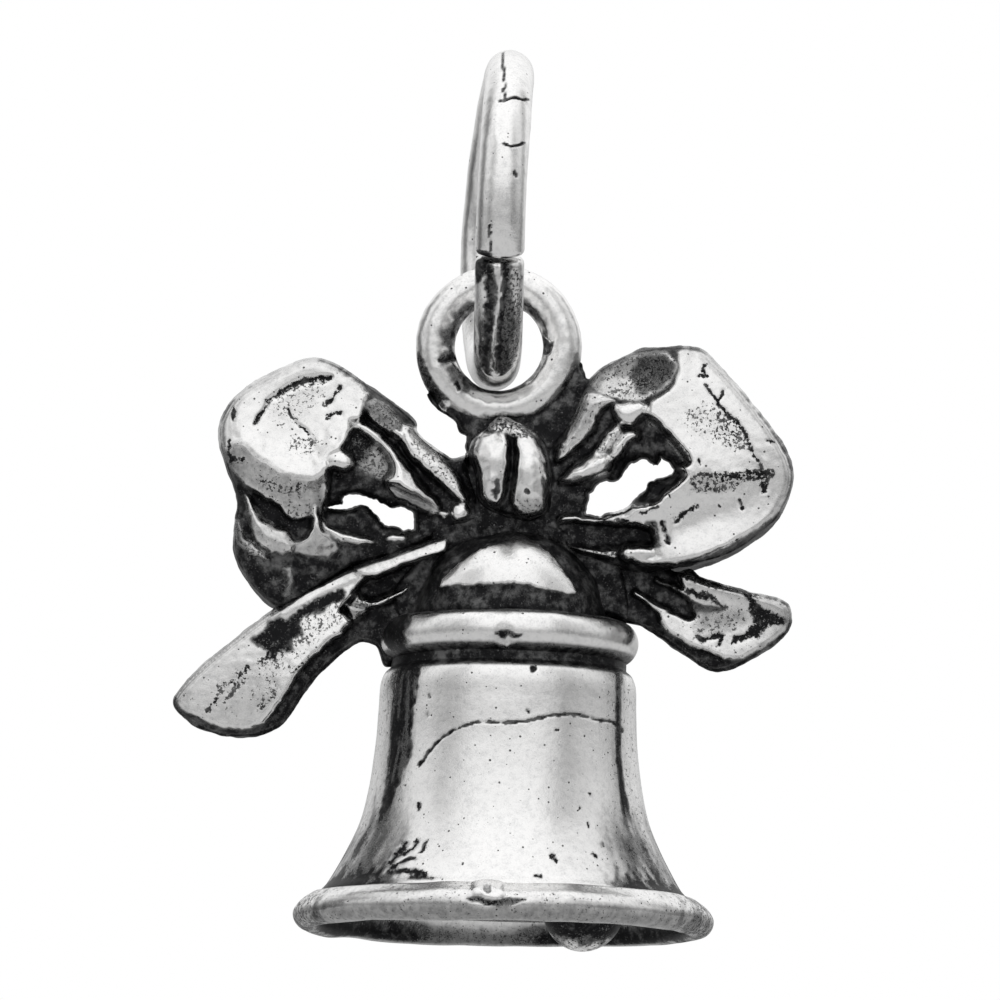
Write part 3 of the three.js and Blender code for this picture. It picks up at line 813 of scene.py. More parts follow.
        loop.cut([(u - size / 2, w + size), (u + size / 2, w - size)], size, 0.02, 0.6, pits=1.0)
    loop.antique()
    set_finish(loop.build("bow_loop_right", "charm"), "antiqued_silver")


# ---- ribbon tails

def left_tail():
    tail = Relief(outline=[
        (-0.95, -3.92), (-1.6, -4.12), (-2.1, -4.32), (-2.95, -4.62), (-4.05, -5.2), (-6.55, -7.45),
        (-6.45, -7.75), (-5.9, -8.1), (-5.55, -8.2), (-4.85, -8.2), (-4.3, -7.95), (-3.65, -7),
        (-2.9, -6.3), (-2.65, -6.2), (-2.4, -6.3), (-2.2, -6.7), (-1.65, -6.55), (-1, -6.1),
        (-0.4, -4.95), (-0.45, -4.05)], height=0.3, tone=0.06, rim=0.12)
    tail.grain(51)
    tail.land([
        (-1, -4.1), (-1.15, -4.05), (-2, -4.45), (-2.95, -4.65), (-3.6, -5.05), (-4.05, -5.2),
        (-6.5, -7.45), (-5.7, -7.95), (-5.35, -8.05), (-4.75, -7.95), (-3.85, -6.65), (-2.95, -5.8),
        (-3.05, -5.65), (-3.15, -5.6), (-2.8, -5.05), (-2.35, -4.65), (-1.1, -4.2)], [
        (-1.1, -4.1, 0.9), (-1.95, -4.5, 0.86), (-2.6, -4.65, 0.7), (-3.3, -4.95, 0.58),
        (-4.05, -5.3, 0.56), (-4.65, -5.8, 0.54), (-5.4, -6.5, 0.5), (-6.15, -7.25, 0.46),
        (-6.45, -7.45, 0.44), (-5.7, -7.9, 0.46), (-4.95, -7.95, 0.5), (-4.4, -7.4, 0.74),
        (-3.85, -6.65, 0.84), (-3.35, -6.15, 0.86), (-3.05, -5.75, 0.84), (-4.35, -6.3, 0.68),
        (-5.1, -7.1, 0.54), (-3.6, -5.6, 0.7), (-5.3, -7.55, 0.5)], bevel=0.07)
    tail.land([
        (-4.95, -6.2), (-4.7, -6.05), (-4.6, -5.85), (-4.2, -5.72), (-3.85, -5.4), (-3.56, -5.3),
        (-3.25, -5.14), (-3.08, -5.14), (-3.1, -5.3), (-3.4, -5.42), (-3.55, -5.6), (-3.9, -5.66),
        (-4.0, -5.85), (-3.9, -6.05), (-4.12, -6.15), (-4.15, -6.4), (-4.45, -6.42), (-4.55, -6.6),
        (-4.62, -6.42)], tone=0.3, bevel=0.16, pits=0.86)
    tail.pit([
        (-4.1, -5.8), (-3.5, -5.5), (-3.1, -5.35), (-3.1, -5.75), (-3.7, -6.3), (-4.4, -6.9),
        (-4.6, -6.6)], 0.52, 0.2)
    tail.land([
        (-5, -6.6), (-4.5, -6.7), (-4.2, -7), (-4.5, -7.5), (-5.2, -7.9), (-6, -7.8), (-6.4, -7.45),
        (-5.7, -7)], tone=0.92, bevel=0.5, pits=0.3)
    tail.land([
        (-2.8, -5.2), (-2.7, -5.3), (-2.5, -5.35), (-1.75, -5.05), (-2.2, -5.35), (-2.75, -5.5),
        (-2.95, -5.4)], 0.6, tone=0.8, dome=0.1, pits=0.5)
    tail.land([
        (-3.05, -5.4), (-2.75, -5.45), (-2.6, -5.55), (-2.75, -5.7), (-2.9, -5.75), (-3, -5.6)], 0.6,
        tone=0.68, dome=0.1, pits=0.4)
    tail.nicks([
        (0.13, (-5.02, -6.8), (-5.28, -7.03), (-5.56, -7.23)), (0.09, (-5.65, -7.46), (-5.84, -7.67)),
        (0.13, (-4.49, -7.24), (-4.74, -7.58)), (0.12, (-3.79, -6.57), (-4.11, -6.84)),
        (0.08, (-5.1, -7.0), (-5.5, -7.5)), (0.14, (-4.5, -6.5), (-4.75, -6.65))], pits=0.86)
    tail.cut([(-3.99, -6.45), (-4.43, -6.92), (-4.88, -7.38)], 0.3, pits=0.5)
    tail.cut([(-4.35, -5.6), (-3.6, -5.14), (-2.9, -4.82), (-2.5, -4.7)], 0.2, -0.05, 1.0, pits=0.1)
    tail.land([
        (-0.98, -3.98), (-1.6, -4.16), (-2.6, -4.48), (-2.9, -4.64), (-2.6, -4.84), (-1.6, -4.48),
        (-0.98, -4.26)], [
        (-1.0, -3.98, 0.9), (-1.0, -4.28, 1.0), (-1.6, -4.16, 0.9), (-1.6, -4.46, 1.0),
        (-2.6, -4.48, 0.82), (-2.6, -4.8, 0.9), (-2.9, -4.64, 0.78)], bevel=0.05, pits=0.1)
    tail.antique()
    tail.cut([(-3.5, -4.96), (-2.6, -4.58), (-1.8, -4.32), (-1.02, -4.1)], 0.2, 0.0, 1.0, pits=0.1)
    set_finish(tail.build("ribbon_tail_left", "charm", wall=0.7), "antiqued_silver")


def right_tail():
    tail = Relief(outline=[
        (1.45, -4.1), (3.2, -4.35), (3.8, -4.6), (4.05, -4.55), (4.25, -4.7), (5.95, -5.15),
        (6.1, -5.25), (6.15, -5.45), (6.15, -5.65), (6.05, -5.85), (5.05, -6.55), (4.75, -6.65),
        (4.5, -6.65), (3, -5.75), (2.3, -5.7), (1.75, -5.6), (1.3, -5), (1.2, -4.4)], height=0.3,
        tone=0.06, rim=0.12)
    tail.grain(61)
    tail.land([
        (2.9, -5.05), (4.05, -5.6), (4.15, -5.5), (4.1, -5.35), (3.8, -5), (3.35, -4.8), (3.9, -4.95),
        (3.8, -4.7), (3.8, -4.6), (3.9, -4.6), (4.35, -4.8), (5.15, -4.95), (5.95, -5.2), (6.1, -5.3),
        (6.15, -5.45), (6, -5.8), (5.4, -6.25), (5.1, -6.4), (4.75, -6.35), (3.6, -5.85), (3.4, -5.5)], [
        (3.8, -4.65, 0.54), (4.5, -4.9, 0.6), (5.55, -5.1, 0.54), (6.05, -5.4, 0.46),
        (5.95, -5.85, 0.46), (5.4, -6.2, 0.5), (4.9, -6.35, 0.5), (4.15, -6.1, 0.54),
        (3.45, -5.55, 0.56), (2.95, -5.1, 0.54), (4.5, -5.45, 0.48), (5.05, -5.7, 0.44),
        (4, -5.35, 0.48), (5.2, -5.35, 0.46)], tone=0.93, bevel=0.07, pits=0.28)
    tail.land([
        (2.94, -4.85), (3.57, -4.83), (4.16, -5.25), (4.74, -5.37), (4.32, -5.45), (4.11, -5.56),
        (3.69, -5.47), (3.1, -5.16)], tone=0.15, bevel=0.1)
    tail.land([
        (4.2, -5.4), (4.7, -5.45), (5.1, -5.4), (5.2, -5.6), (4.8, -5.8), (4.2, -5.75)], tone=0.8,
        bevel=0.3, pits=0.5)
    tail.land([
        (5.31, -5.17), (5.58, -5.35), (6.03, -5.58), (5.69, -5.69), (5.43, -5.91), (5.24, -5.86),
        (5.37, -5.59), (5.29, -5.38)], tone=0.7, bevel=0.12, pits=1.0)
    tail.nicks([
        (0.09, (3.78, -4.94), (4.31, -5.08), (4.79, -5.34)),
        (0.09, (3.99, -4.72), (4.31, -4.79), (4.73, -4.86), (5.15, -5.01), (5.37, -5.22)),
        (0.1, (5.43, -5.88), (5.17, -5.94), (4.96, -6)),
        (0.09, (4.22, -5.91), (4.3, -6.01), (4.54, -5.95), (4.69, -5.92), (4.67, -6.11))], 0.015, 0.7)
    tail.antique()
    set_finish(tail.build("ribbon_tail_right", "charm", wall=0.8), "antiqued_silver")


# ---- core and knot

def core():
    web = Relief(outline=[
        (-1.48, -0.97), (-1.22, -1.33), (-0.9, -1.57), (-0.78, -1.79), (-0.63, -1.87), (-0.65, -2.08),
        (-0.6, -2.35), (-0.75, -2.7), (-1.15, -3.35), (-1.6, -3.55), (-1.4, -4), (-2.15, -5.2),
        (-1.8, -5.85), (-0.9, -5.2), (-0.3, -4.35), (0.3, -4.15), (0.9, -4.3), (1.4, -5.1), (2.8, -5.65),
        (2.5, -4.25), (1.4, -3.65), (1.1, -2.95), (1.7, -1.5), (2.0, -0.6), (1.85, -0.6), (1.77, -0.45),
        (1.7, -0.28), (1.4, -0.38), (1.1, -0.95), (0.6, -1.32), (0, -1.45), (-0.6, -1.32),
        (-1.1, -0.95)], height=0.6, tone=0.1, rim=0.12)
    web.height = plate(web.seen, [
        (-1.4, -1.1, 0.1), (-0.9, -1.3, 0.24), (0, -1.5, 0.3), (0.9, -1.3, 0.28), (1.5, -0.7, 0.2),
        (1.9, -0.5, 0.2), (0, -1.9, 0.55), (1.2, -1.8, 0.45), (-0.5, -2.2, 0.5), (0.3, -2.6, 0.7),
        (0.3, -3.4, 0.7), (-1, -3.5, 0.66), (1.4, -3.6, 0.66), (-1.5, -4.6, 0.5), (-1.9, -5.6, 0.42),
        (1.5, -4.4, 0.5), (2.5, -5.3, 0.42)])
    web.grain(81, (0.45, 0.05), (0.12, 0.02))
    web.antique(softening=0)
    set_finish(web.build("bow_core", "charm"), "oxidised_silver")


def knot(name, on_back):
    wrap = Relief(outline=[
        (-0.54, -2.1), (-0.42, -1.85), (-0.22, -1.7), (-0.12, -1.56), (0.04, -1.45), (0.3, -1.52),
        (0.65, -1.66), (0.98, -1.98), (1.12, -2.4), (1.16, -2.9), (1.1, -3.4), (0.8, -3.62),
        (0.3, -3.57), (-0.1, -3.42), (-0.36, -3.2), (-0.44, -2.7), (-0.54, -2.35)], height=1.0, tone=0.1,
        rim=0.2)
    wrap.grain(91, (0.3, 0.04), (0.1, 0.03))
    wrap.land([
        (-0.14, -1.7), (-0.12, -1.56), (0.02, -1.46), (0.25, -1.54), (0.61, -1.68), (0.82, -1.86),
        (0.42, -1.87), (0.11, -1.78)], 1.1, tone=0.95, pits=0.68)
    wrap.land([
        (-0.46, -1.97), (-0.3, -1.81), (0.12, -1.8), (0.22, -2.05), (0.2, -2.62), (0.1, -3.18),
        (-0.09, -3.3), (-0.26, -3.09), (-0.33, -2.63), (-0.46, -2.27)], [
        (-0.05, -1.85, 1.2), (-0.1, -2.3, 1.4), (-0.06, -2.8, 1.4), (-0.08, -3.25, 1.22),
        (-0.42, -2.1, 1.2), (-0.32, -2.7, 1.24), (0.2, -2.1, 1.3), (0.18, -2.7, 1.3)], bevel=0.08)
    wrap.land([
        (0.45, -1.9), (0.72, -1.84), (0.98, -2.14), (1.09, -2.65), (1.07, -3.16), (0.97, -3.44),
        (0.65, -3.52), (0.38, -3.3), (0.4, -2.66), (0.45, -2.25)], [
        (0.65, -1.9, 1.2), (0.68, -2.4, 1.42), (0.72, -3, 1.4), (0.68, -3.48, 1.18), (1.0, -2.3, 1.18),
        (1.08, -2.9, 1.16), (0.45, -2.3, 1.3), (0.42, -3, 1.28)], bevel=0.08)
    wrap.cut([(0.01, -2.83), (0, -2.98), (-0.01, -3.13)], 0.1, 0.05, 0.2)
    wrap.bead(0.63, -3.01, 0.06, -0.05, 0.2)
    wrap.land([(0.4, -3.15), (0.95, -3.2), (0.95, -3.44), (0.6, -3.52)], tone=0.8, bevel=0.15, pits=0.45)
    wrap.antique(1.0, 3)
    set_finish(wrap.build(name, "charm", behind=0.5, mirrored=on_back, edge_drop=0.25), "antiqued_silver")


# ---- jump ring and hanging eye

def jump_ring():
    wire_r = 0.5
    ring_r = (RING_HI[2] - RING_LO[2]) / 2 - wire_r
    joint, joint_gap = math.radians(-24), math.radians(1.2)
    bowed, leaning, flattened = 0.17, 0.07, 0.025
    start, end = joint + joint_gap / 2, joint + 2 * math.pi - joint_gap / 2
    turn = np.linspace(start, end, 640)
    side, height = -np.cos(turn), np.sin(turn)
    level = ring_r * (height - flattened * ramp(0, 1, -height)) + (RING_HI[2] + RING_LO[2]) / 2
    path = np.column_stack([-bowed * side * (1 + side) + leaning * height, ring_r * side, level])
    ring = Wire(path, wire_r, 64, False, SIDE, tone=0.95)
    ring.height += 0.012 * lumps(ring.base, 1.1, 5, 2) + 0.003 * lumps(ring.base, 0.2, 6)
    ring.land([(-0.05, 5.15), (0.5, 5.15), (0.5, 4.38), (-0.05, 4.36)], -0.02, tone=1.0, bevel=0.06)
    ring.nicks([
        (0.035, (-0.08, 5.19), (0.21, 5.26), (0.5, 5.22)),
        (0.035, (0, 4.3), (0.19, 4.24), (0.43, 4.33))], 0.02, 0.15, 0.8)
    ring.nicks([(0.042, (0.26, 3.69), (0.26, 3.63))], 0.02, 0.2, 0.8)
    ring.nicks([(0.035, (-0.04, 6.17), (-0.01, 5.74), (0.02, 5.21))], 0.01, 0.35, 0.8)
    ring.nicks([(0.035, (-0.26, 2.57), (-0.23, 2.29), (-0.21, 2.04))], 0.01, 0.3, 0.8)
    # Below the joint the wire is dull; its two dark stripes and the brightness of the thin ridge between
    # them are painted reflections, laid on shallow grooves and a ridge.
    below = (np.abs(ring.seen[:, 0]) < 0.8) & (ring.seen[:, 1] < 1.9) & (ring.base[:, 1] < -2)
    ring.tone[below] = 0.84 + 0.12 * lumps(ring.base[below] * [1, 0.4, 0.4], 0.25, 12, 2)
    ring.cut([
        (-0.32, 1.89), (-0.2, 1.22), (-0.21, 0.45), (-0.28, -0.17), (-0.22, -0.7)], 0.15, 0.02, 0.12)
    ring.cut([(0.09, 1.75), (0.12, 1.23), (0.05, 0.56), (0.01, -0.06), (0.05, -0.62)], 0.13, 0.02, 0.1)
    ring.land([
        (0.16, 1.2), (0.3, 0.9), (0.3, 0.3), (0.2, -0.1), (0.3, -0.6), (0.12, -0.6), (0.1, 0)], tone=0.6,
        bevel=0.1, pits=0.75)
    ring.pit([(0.2, 1.6), (0.46, 1.6), (0.46, -0.5), (0.3, -0.5)], 0.6, 0.1)
    ring.cut([
        (-0.01, 1.89), (0.01, 1.33), (-0.05, 0.71), (-0.11, 0.19), (-0.07, -0.42), (0.04, -0.8)], 0.05,
        -0.02, 0.95)
    # Painted shadow: a dark patch under the rounded end of the wire above the joint.
    ring.land([
        (-0.58, 1.99), (-0.27, 1.96), (-0.32, 1.73), (-0.44, 1.37), (-0.56, 1.45)], tone=0.08,
        bevel=0.05)
    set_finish(wires("jump_ring", [ring], "ring"), "polished_silver")


def hanging_eye():
    wire_r = 0.39
    radius = (corners("hanging_eye")[1] - EYE)[0] - wire_r
    turn = np.linspace(0, 2 * math.pi, 360, endpoint=False)
    path = EYE + radius * np.column_stack([np.cos(turn), np.zeros(len(turn)), np.sin(turn)])
    eye = Wire(path, wire_r, 64, True, FORWARD, tone=0.95)
    eye.height += 0.012 + 0.02 * lumps(eye.base, 0.9, 7, 2) + 0.004 * lumps(eye.base, 0.15, 8)
    # Oxide and painted shade dull the wall of the bore, widest at the left and the top; painted shade,
    # with pits, dulls the lower outer edge, which faces down.
    inner = np.hypot(eye.seen[:, 0], eye.seen[:, 1])
    stray = lumps(eye.base, 0.3, 9, 3)
    left = ramp(0.1, 0.9, -eye.seen[:, 0])
    wide = np.maximum(left, 0.8 * ramp(0.0, 0.8, eye.seen[:, 1]))
    wall = 1 - ramp(0.93 + 0.06 * wide, 0.99 + 0.4 * wide, inner + 0.04 * stray)
    eye.tone -= (0.5 + 0.4 * lumps(eye.base, 0.15, 10, 2)) * wall
    outer = ramp(1.5, 1.68, inner + 0.05 * stray) * ramp(-0.1, 0.5, -eye.seen[:, 1])
    eye.tone -= 0.28 * outer
    eye.pits += 0.55 * outer
    eye.cut([(-1.7, -0.27), (-1.58, -0.61), (-1.4, -0.95), (-1.08, -1.3)], 0.16, 0.0, 0.4, pits=0.6)
    eye.cut([(0.7, -1.5), (1.2, -1.16), (1.5, -0.78), (1.68, -0.4)], 0.14, 0.0, 0.6, pits=0.7)
    eye.cut([(-1.18, -0.31), (-1.06, -0.27), (-0.92, -0.25)], 0.07, 0.04, 0.1)
    eye.cut([(0.88, 0.17), (1.02, 0.08), (0.99, -0.08)], 0.1, 0.05, 0.05)
    eye.cut([(-0.87, -0.79), (-0.8, -0.89)], 0.06, 0.03, 0.1)
    eye.cut([(-0.2, -1.6), (0.35, -1.6)], 0.18, 0.0, 0.8, pits=0.75)
    eye.bead(-1.1, -1.28, 0.14, 0.08)
    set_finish(wires("hanging_eye", [eye], "charm"), "polished_silver")


# ---- bell

def profile(outer, inner, step, inner_step):
    """A closed outline from two open runs of [radius, height] points."""
    return np.vstack([curve(outer, False, step), curve(inner, False, inner_step)])


COLUMNS = 400


def crown():
    line = profile([
        (1.6, 6.3), (2.0, 6.42), (1.98, 6.7), (1.9, 7.0), (1.76, 7.35), (1.5, 7.72), (1.15, 8.0),
        (0.75, 8.2), (0.35, 8.3), (0.005, 8.32)], [
        (0.005, 7.75), (0.5, 7.65), (0.85, 7.35), (1.2, 6.85), (1.5, 6.45)], TURNED_STEP, 0.1)
    dome = Turned(line, COLUMNS, tone=0.12)
    dome.height += 0.05 * lumps(dome.base, 0.45, 101, 2)
    dome.land([
        (-1.13, -5.02), (-0.64, -4.47), (-0.14, -4.18), (0.26, -4.05), (0.5, -3.94), (0.77, -4.06),
        (1.17, -4.33), (1.59, -4.88), (1.66, -5.1), (1.19, -5.06), (0.48, -4.93), (-0.08, -4.96),
        (-0.73, -4.98)], 0.06, bevel=0.07, dome=0.03, pits=0.2)
    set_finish(dome.build("bell_crown", "charm"), "antiqued_silver")


def shoulder_band():
    turn = np.linspace(-0.5 * math.pi, 0.5 * math.pi, 40)
    outer = np.column_stack([2.28 + 0.38 * np.cos(turn), 6.0 + 0.43 * np.sin(turn)])
    line = np.vstack([[(2.1, 5.57)], outer, [(2.1, 6.43), (2.1, 6.0)]])
    band = Turned(line, COLUMNS, tone=0.95)
    band.height += 0.02 * lumps(band.base, 0.8, 111, 2)
    # Oxide and painted shade darken the band where it meets the body below and the crown above.
    band.tone -= 0.8 * (1 - ramp(5.62, 5.8, band.level)) + 0.7 * ramp(6.3, 6.42, band.level)
    band.bead(0.25, -5.97, 0.24, -0.02, 0.85)
    band.land([
        (0.02, -5.95), (0.2, -5.9), (0.42, -5.93), (0.58, -5.97), (0.4, -6.04), (0.2, -6.03)], tone=0.35,
        bevel=0.06, pits=0.5)
    band.cut([(0.3, -6.05), (0.3, -6.25)], 0.05, -0.02, 0.85)
    band.land([
        (-1.95, -5.5), (-1.78, -5.55), (-1.7, -5.75), (-1.82, -5.9), (-1.85, -6.3), (-2.3, -6.4),
        (-2.3, -5.6)], tone=0.15, bevel=0.15, pits=0.5)
    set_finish(band.build("shoulder_band", "charm"), "antiqued_silver")


def body():
    outer = [
        (3.55, 0.5), (3.8, 0.7), (3.62, 0.95), (3.42, 1.28), (3.2, 1.7), (2.96, 2.28), (2.81, 2.92),
        (2.73, 3.5), (2.68, 4.0), (2.65, 4.6), (2.62, 5.1), (2.54, 5.3), (2.42, 5.42), (2.4, 5.6),
        (2.25, 5.75)]
    inner = [
        (1.85, 5.75), (1.9, 5.3), (2.1, 4.95), (2.18, 3.96), (2.3, 2.92), (2.44, 2.25), (2.72, 1.6),
        (3.09, 1.12), (3.4, 0.7)]
    line = profile(outer, inner, TURNED_STEP, 0.12)
    wall = Turned(line, COLUMNS, tone=0.96)
    outside = np.arange(len(wall.height)) < len(curve(outer, False, TURNED_STEP)) * COLUMNS
    broad, narrow = lumps(wall.base, 1.4, 121, 2), lumps(wall.base, 0.8, 122, 2)
    wall.height += 0.02 * np.where(outside, broad, narrow)
    streaks = lumps(wall.base * [1, 1, 0.12], 0.3, 123, 3)
    fine_streaks = lumps(wall.base * [1, 1, 0.1], 0.12, 125, 2)
    across = wall.base[:, 0] - EYE[0]
    # Inside, the oxide is worn through only in streaks behind the middle.
    behind = np.exp(-((across + 0.2) / 1.25) ** 4)
    worn = behind * ramp(-0.35, 0.15, fine_streaks + 0.4 * streaks)
    wall.tone = np.where(outside, wall.tone, 0.26 + 0.25 * streaks + 0.85 * worn)
    wall.tone -= np.where(outside, 0.85 * ramp(5.22, 5.36, wall.level), 0)
    # Painted reflections: dark streaky bands run down both sides, between the front and the outline.
    azimuth = np.degrees(np.arctan2(wall.base[:, 0] - BELL[0], np.abs(wall.base[:, 1])))
    stray = 4.0 * lumps(wall.base * [1, 1, 0.3], 0.5, 124, 2) + 1.6 * lumps(wall.base, 0.14, 126, 2)
    half = 1.5 + 5.5 * ramp(2.0, 4.4, wall.level)
    left = 1 - ramp(half, half + 3.5, np.abs(azimuth + 54 + stray))
    right = 1 - ramp(1.2, 3.0, np.abs(azimuth - 58 + 0.4 * stray))
    height = ramp(1.6, 2.8, wall.level)
    dark = (left + 0.9 * right) * height * (0.62 + 0.8 * streaks + 0.5 * fine_streaks)
    # Painted shade: the flare is dull at both sides, and the seam above the lip is dark there.
    side = ramp(33, 54, np.abs(azimuth) + stray)
    flare = 1 - ramp(1.4, 3.2, wall.level)
    side_shade = (0.34 + 0.2 * streaks) * side * flare + 0.12 * ramp(0.1, 0.5, streaks) * side
    seam = ramp(28, 45, np.abs(azimuth)) * (1 - ramp(0.75, 1.15, wall.level + 0.3 * fine_streaks))
    wall.tone -= np.where(outside, dark + side_shade + 0.6 * seam, 0)
    wall.pits += np.where(outside, 0.25 * side + 0.4 * seam, 0.3 - 0.2 * behind)
    wall.nicks([
        (0.075, (-2.0, -10.75), (-1.8, -10.5), (-1.68, -10.33)),
        (0.06, (-1.72, -10.55), (-1.55, -10.42), (-1.45, -10.3)),
        (0.045, (-1.4, -10.5), (-1.25, -10.3)), (0.05, (-1.95, -10.85), (-1.7, -10.7), (-1.5, -10.62)),
        (0.08, (-2.05, -10.95), (-1.7, -10.9), (-1.3, -10.95)), (0.06, (-1.6, -11), (-1.15, -11.02)),
        (0.07, (1.32, -10.52), (1.41, -10.64)), (0.05, (2.33, -10.23), (2.38, -10.31)),
        (0.045, (2.14, -10.44), (2.23, -10.52)), (0.05, (1.0, -10.93), (1.1, -10.93)),
        (0.045, (-1.44, -9.53), (-1.44, -9.65)), (0.035, (2.05, -9.82), (2.06, -9.92)),
        (0.035, (-1.28, -7.24), (-1.27, -7.32)), (0.03, (-1.3, -7.64), (-1.28, -7.7)),
        (0.045, (0.72, -7.55), (0.78, -7.6)), (0.03, (2.08, -9.22), (2.09, -9.3)),
        (0.035, (1.34, -7.93), (1.38, -7.91)), (0.03, (1.84, -9.58), (1.88, -9.53))], 0.01, 0.6)
    wall.cut([
        (-1.44, -8.71), (-1.21, -8.37), (-0.92, -8.1), (-0.43, -7.85), (0.1, -7.8), (0.57, -7.77),
        (1.04, -7.69), (1.27, -7.63), (1.86, -7.63), (2.15, -7.71)], 0.034, 0.012, 0.1)
    wall.cut([(2.15, -7.71), (2.51, -7.76), (2.71, -7.92)], 0.034, 0.012, 0.15)
    wall.bead(0.84, -6.68, 0.07, -0.04, 0.1)
    for u, w in ((-0.76, -6.3), (0.3, -6.15)):
        wall.bead(u, w, 0.1, 0.05, 0.55)
        wall.bead(u, w, 0.05, -0.05, 0.1)
    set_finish(wall.build("bell_body", "charm"), "antiqued_silver")


def rim():
    line = curve([
        (3.72, 0.3), (3.78, 0.06), (3.95, 0), (4.15, 0.05), (4.27, 0.18), (4.3, 0.36), (4.2, 0.53),
        (4.04, 0.66), (3.85, 0.76), (3.7, 0.74), (3.62, 0.55)], True, TURNED_STEP)
    lip = Turned(line, COLUMNS + 80, tone=0.97)
    lip.height += 0.025 * lumps(lip.base, 1.0, 131, 2)
    azimuth = np.degrees(np.arctan2(lip.base[:, 0] - BELL[0], np.abs(lip.base[:, 1])))
    stray = lumps(lip.base * [1, 1, 0.5], 0.3, 132, 3)
    # Painted shade: the lower part of the lip, which faces down, is darker, and so are its left and right
    # ends, where it turns away.
    lip.tone -= 0.05 + 0.2 * (1 - ramp(0.15, 0.5, lip.level + 0.05 * stray))
    lip.tone -= 0.3 * ramp(48, 72, np.abs(azimuth) + 8 * stray) * ramp(-0.3, 0.3, stray)
    lip.pits += 0.2 + 0.3 * ramp(50, 75, np.abs(azimuth))
    worn = np.exp(-((lip.base[:, 0] - EYE[0] + 0.2) / 1.3) ** 4) * (lip.base[:, 1] > 0)
    lip.tone -= (0.6 - 0.5 * worn) * (1 - ramp(3.76, 3.86, lip.radius)) * (1 - ramp(0.3, 0.6, lip.level))
    lip.bead(0.02, -11.26, 0.34, 0.06, 1.0)
    lip.bead(0.0, -11.27, 0.09, -0.05, 0.72)
    lip.land([
        (-0.42, -11.44), (-0.2, -11.41), (0.1, -11.47), (0.4, -11.42), (0.8, -11.42), (0.55, -11.53),
        (0.1, -11.57), (-0.2, -11.52)], -0.02, tone=0.5, bevel=0.05, pits=0.5)
    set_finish(lip.build("rim_bead", "charm"), "antiqued_silver")


# ---- clapper

def staple():
    """A wire staple whose legs stand in the crown and whose crossbar holds the clapper."""
    wire_r = PIN_WIRE
    span = STAPLE_HI[1] - wire_r
    bend = 0.25
    turn = np.linspace(0, math.pi / 2, 10)
    half = [(0, y, 0) for y in np.linspace(0, span - bend, 6, endpoint=False)]
    half += [(0, span - bend + bend * math.sin(a), bend - bend * math.cos(a)) for a in turn]
    half += [(0, span, z) for z in np.linspace(bend, STAPLE_HI[2] - PIN[2], 14)[1:]]
    half = np.array(half)
    path = PIN + np.vstack([half[:0:-1] * [1, -1, 1], half])
    wire = Wire(path, wire_r, 20, False, SIDE, tone=0.3, end_round=0.05)
    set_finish(wires("clapper_staple", [wire], "charm"), "oxidised_silver")


def stem():
    """A wire with an eye round the crossbar, that runs down into the ball."""
    eye_r, eye_wire, wire_r = 0.35, 0.13, 0.15
    down = (BALL - PIN) / np.linalg.norm(BALL - PIN)
    turn = np.linspace(0, 2 * math.pi, 48, endpoint=False)
    path = PIN + eye_r * np.column_stack([np.cos(turn), np.zeros(48), np.sin(turn)])
    eye = Wire(path, eye_wire, 16, True, FORWARD, tone=0.3)
    along = np.linspace(eye_r, np.linalg.norm(BALL - PIN) - 0.9 * BALL_R, 60)
    shank = Wire(PIN + along[:, None] * down, wire_r, 20, False, FORWARD, tone=0.35, end_round=0.04)
    shank.tone += 0.2 * lumps(shank.base, 0.4, 151, 2)
    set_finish(wires("clapper_stem", [eye, shank], "clapper"), "oxidised_silver")


def ball():
    rows = 70
    lat = np.linspace(-0.5 * math.pi + 0.02, 0.5 * math.pi - 0.02, rows)
    lon = np.linspace(0, 2 * math.pi, 2 * rows, endpoint=False)
    out = np.stack([np.cos(lat)[:, None] * np.sin(lon), -np.cos(lat)[:, None] * np.cos(lon),
                    np.sin(lat)[:, None] * np.ones(2 * rows)], axis=2).reshape(-1, 3)
    points = BALL + out * (BALL_R + 0.012 * lumps(out, 0.9, 141, 2))[:, None]
    faces = grid_faces(rows, 2 * rows, False, True).tolist()
    faces += [list(range(2 * rows))[::-1], list(range((rows - 1) * 2 * rows, rows * 2 * rows))]
    stray = lumps(points, 0.35, 142, 3)
    tone = 0.95 + 0.15 * stray - 0.75 * ramp(-0.86, -0.55, out[:, 2] + 0.25 * stray)
    pits = np.full(len(points), 0.55)
    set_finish(to_object("clapper_ball", points, faces, tone, pits, "clapper"), "antiqued_silver")


# ---- materials

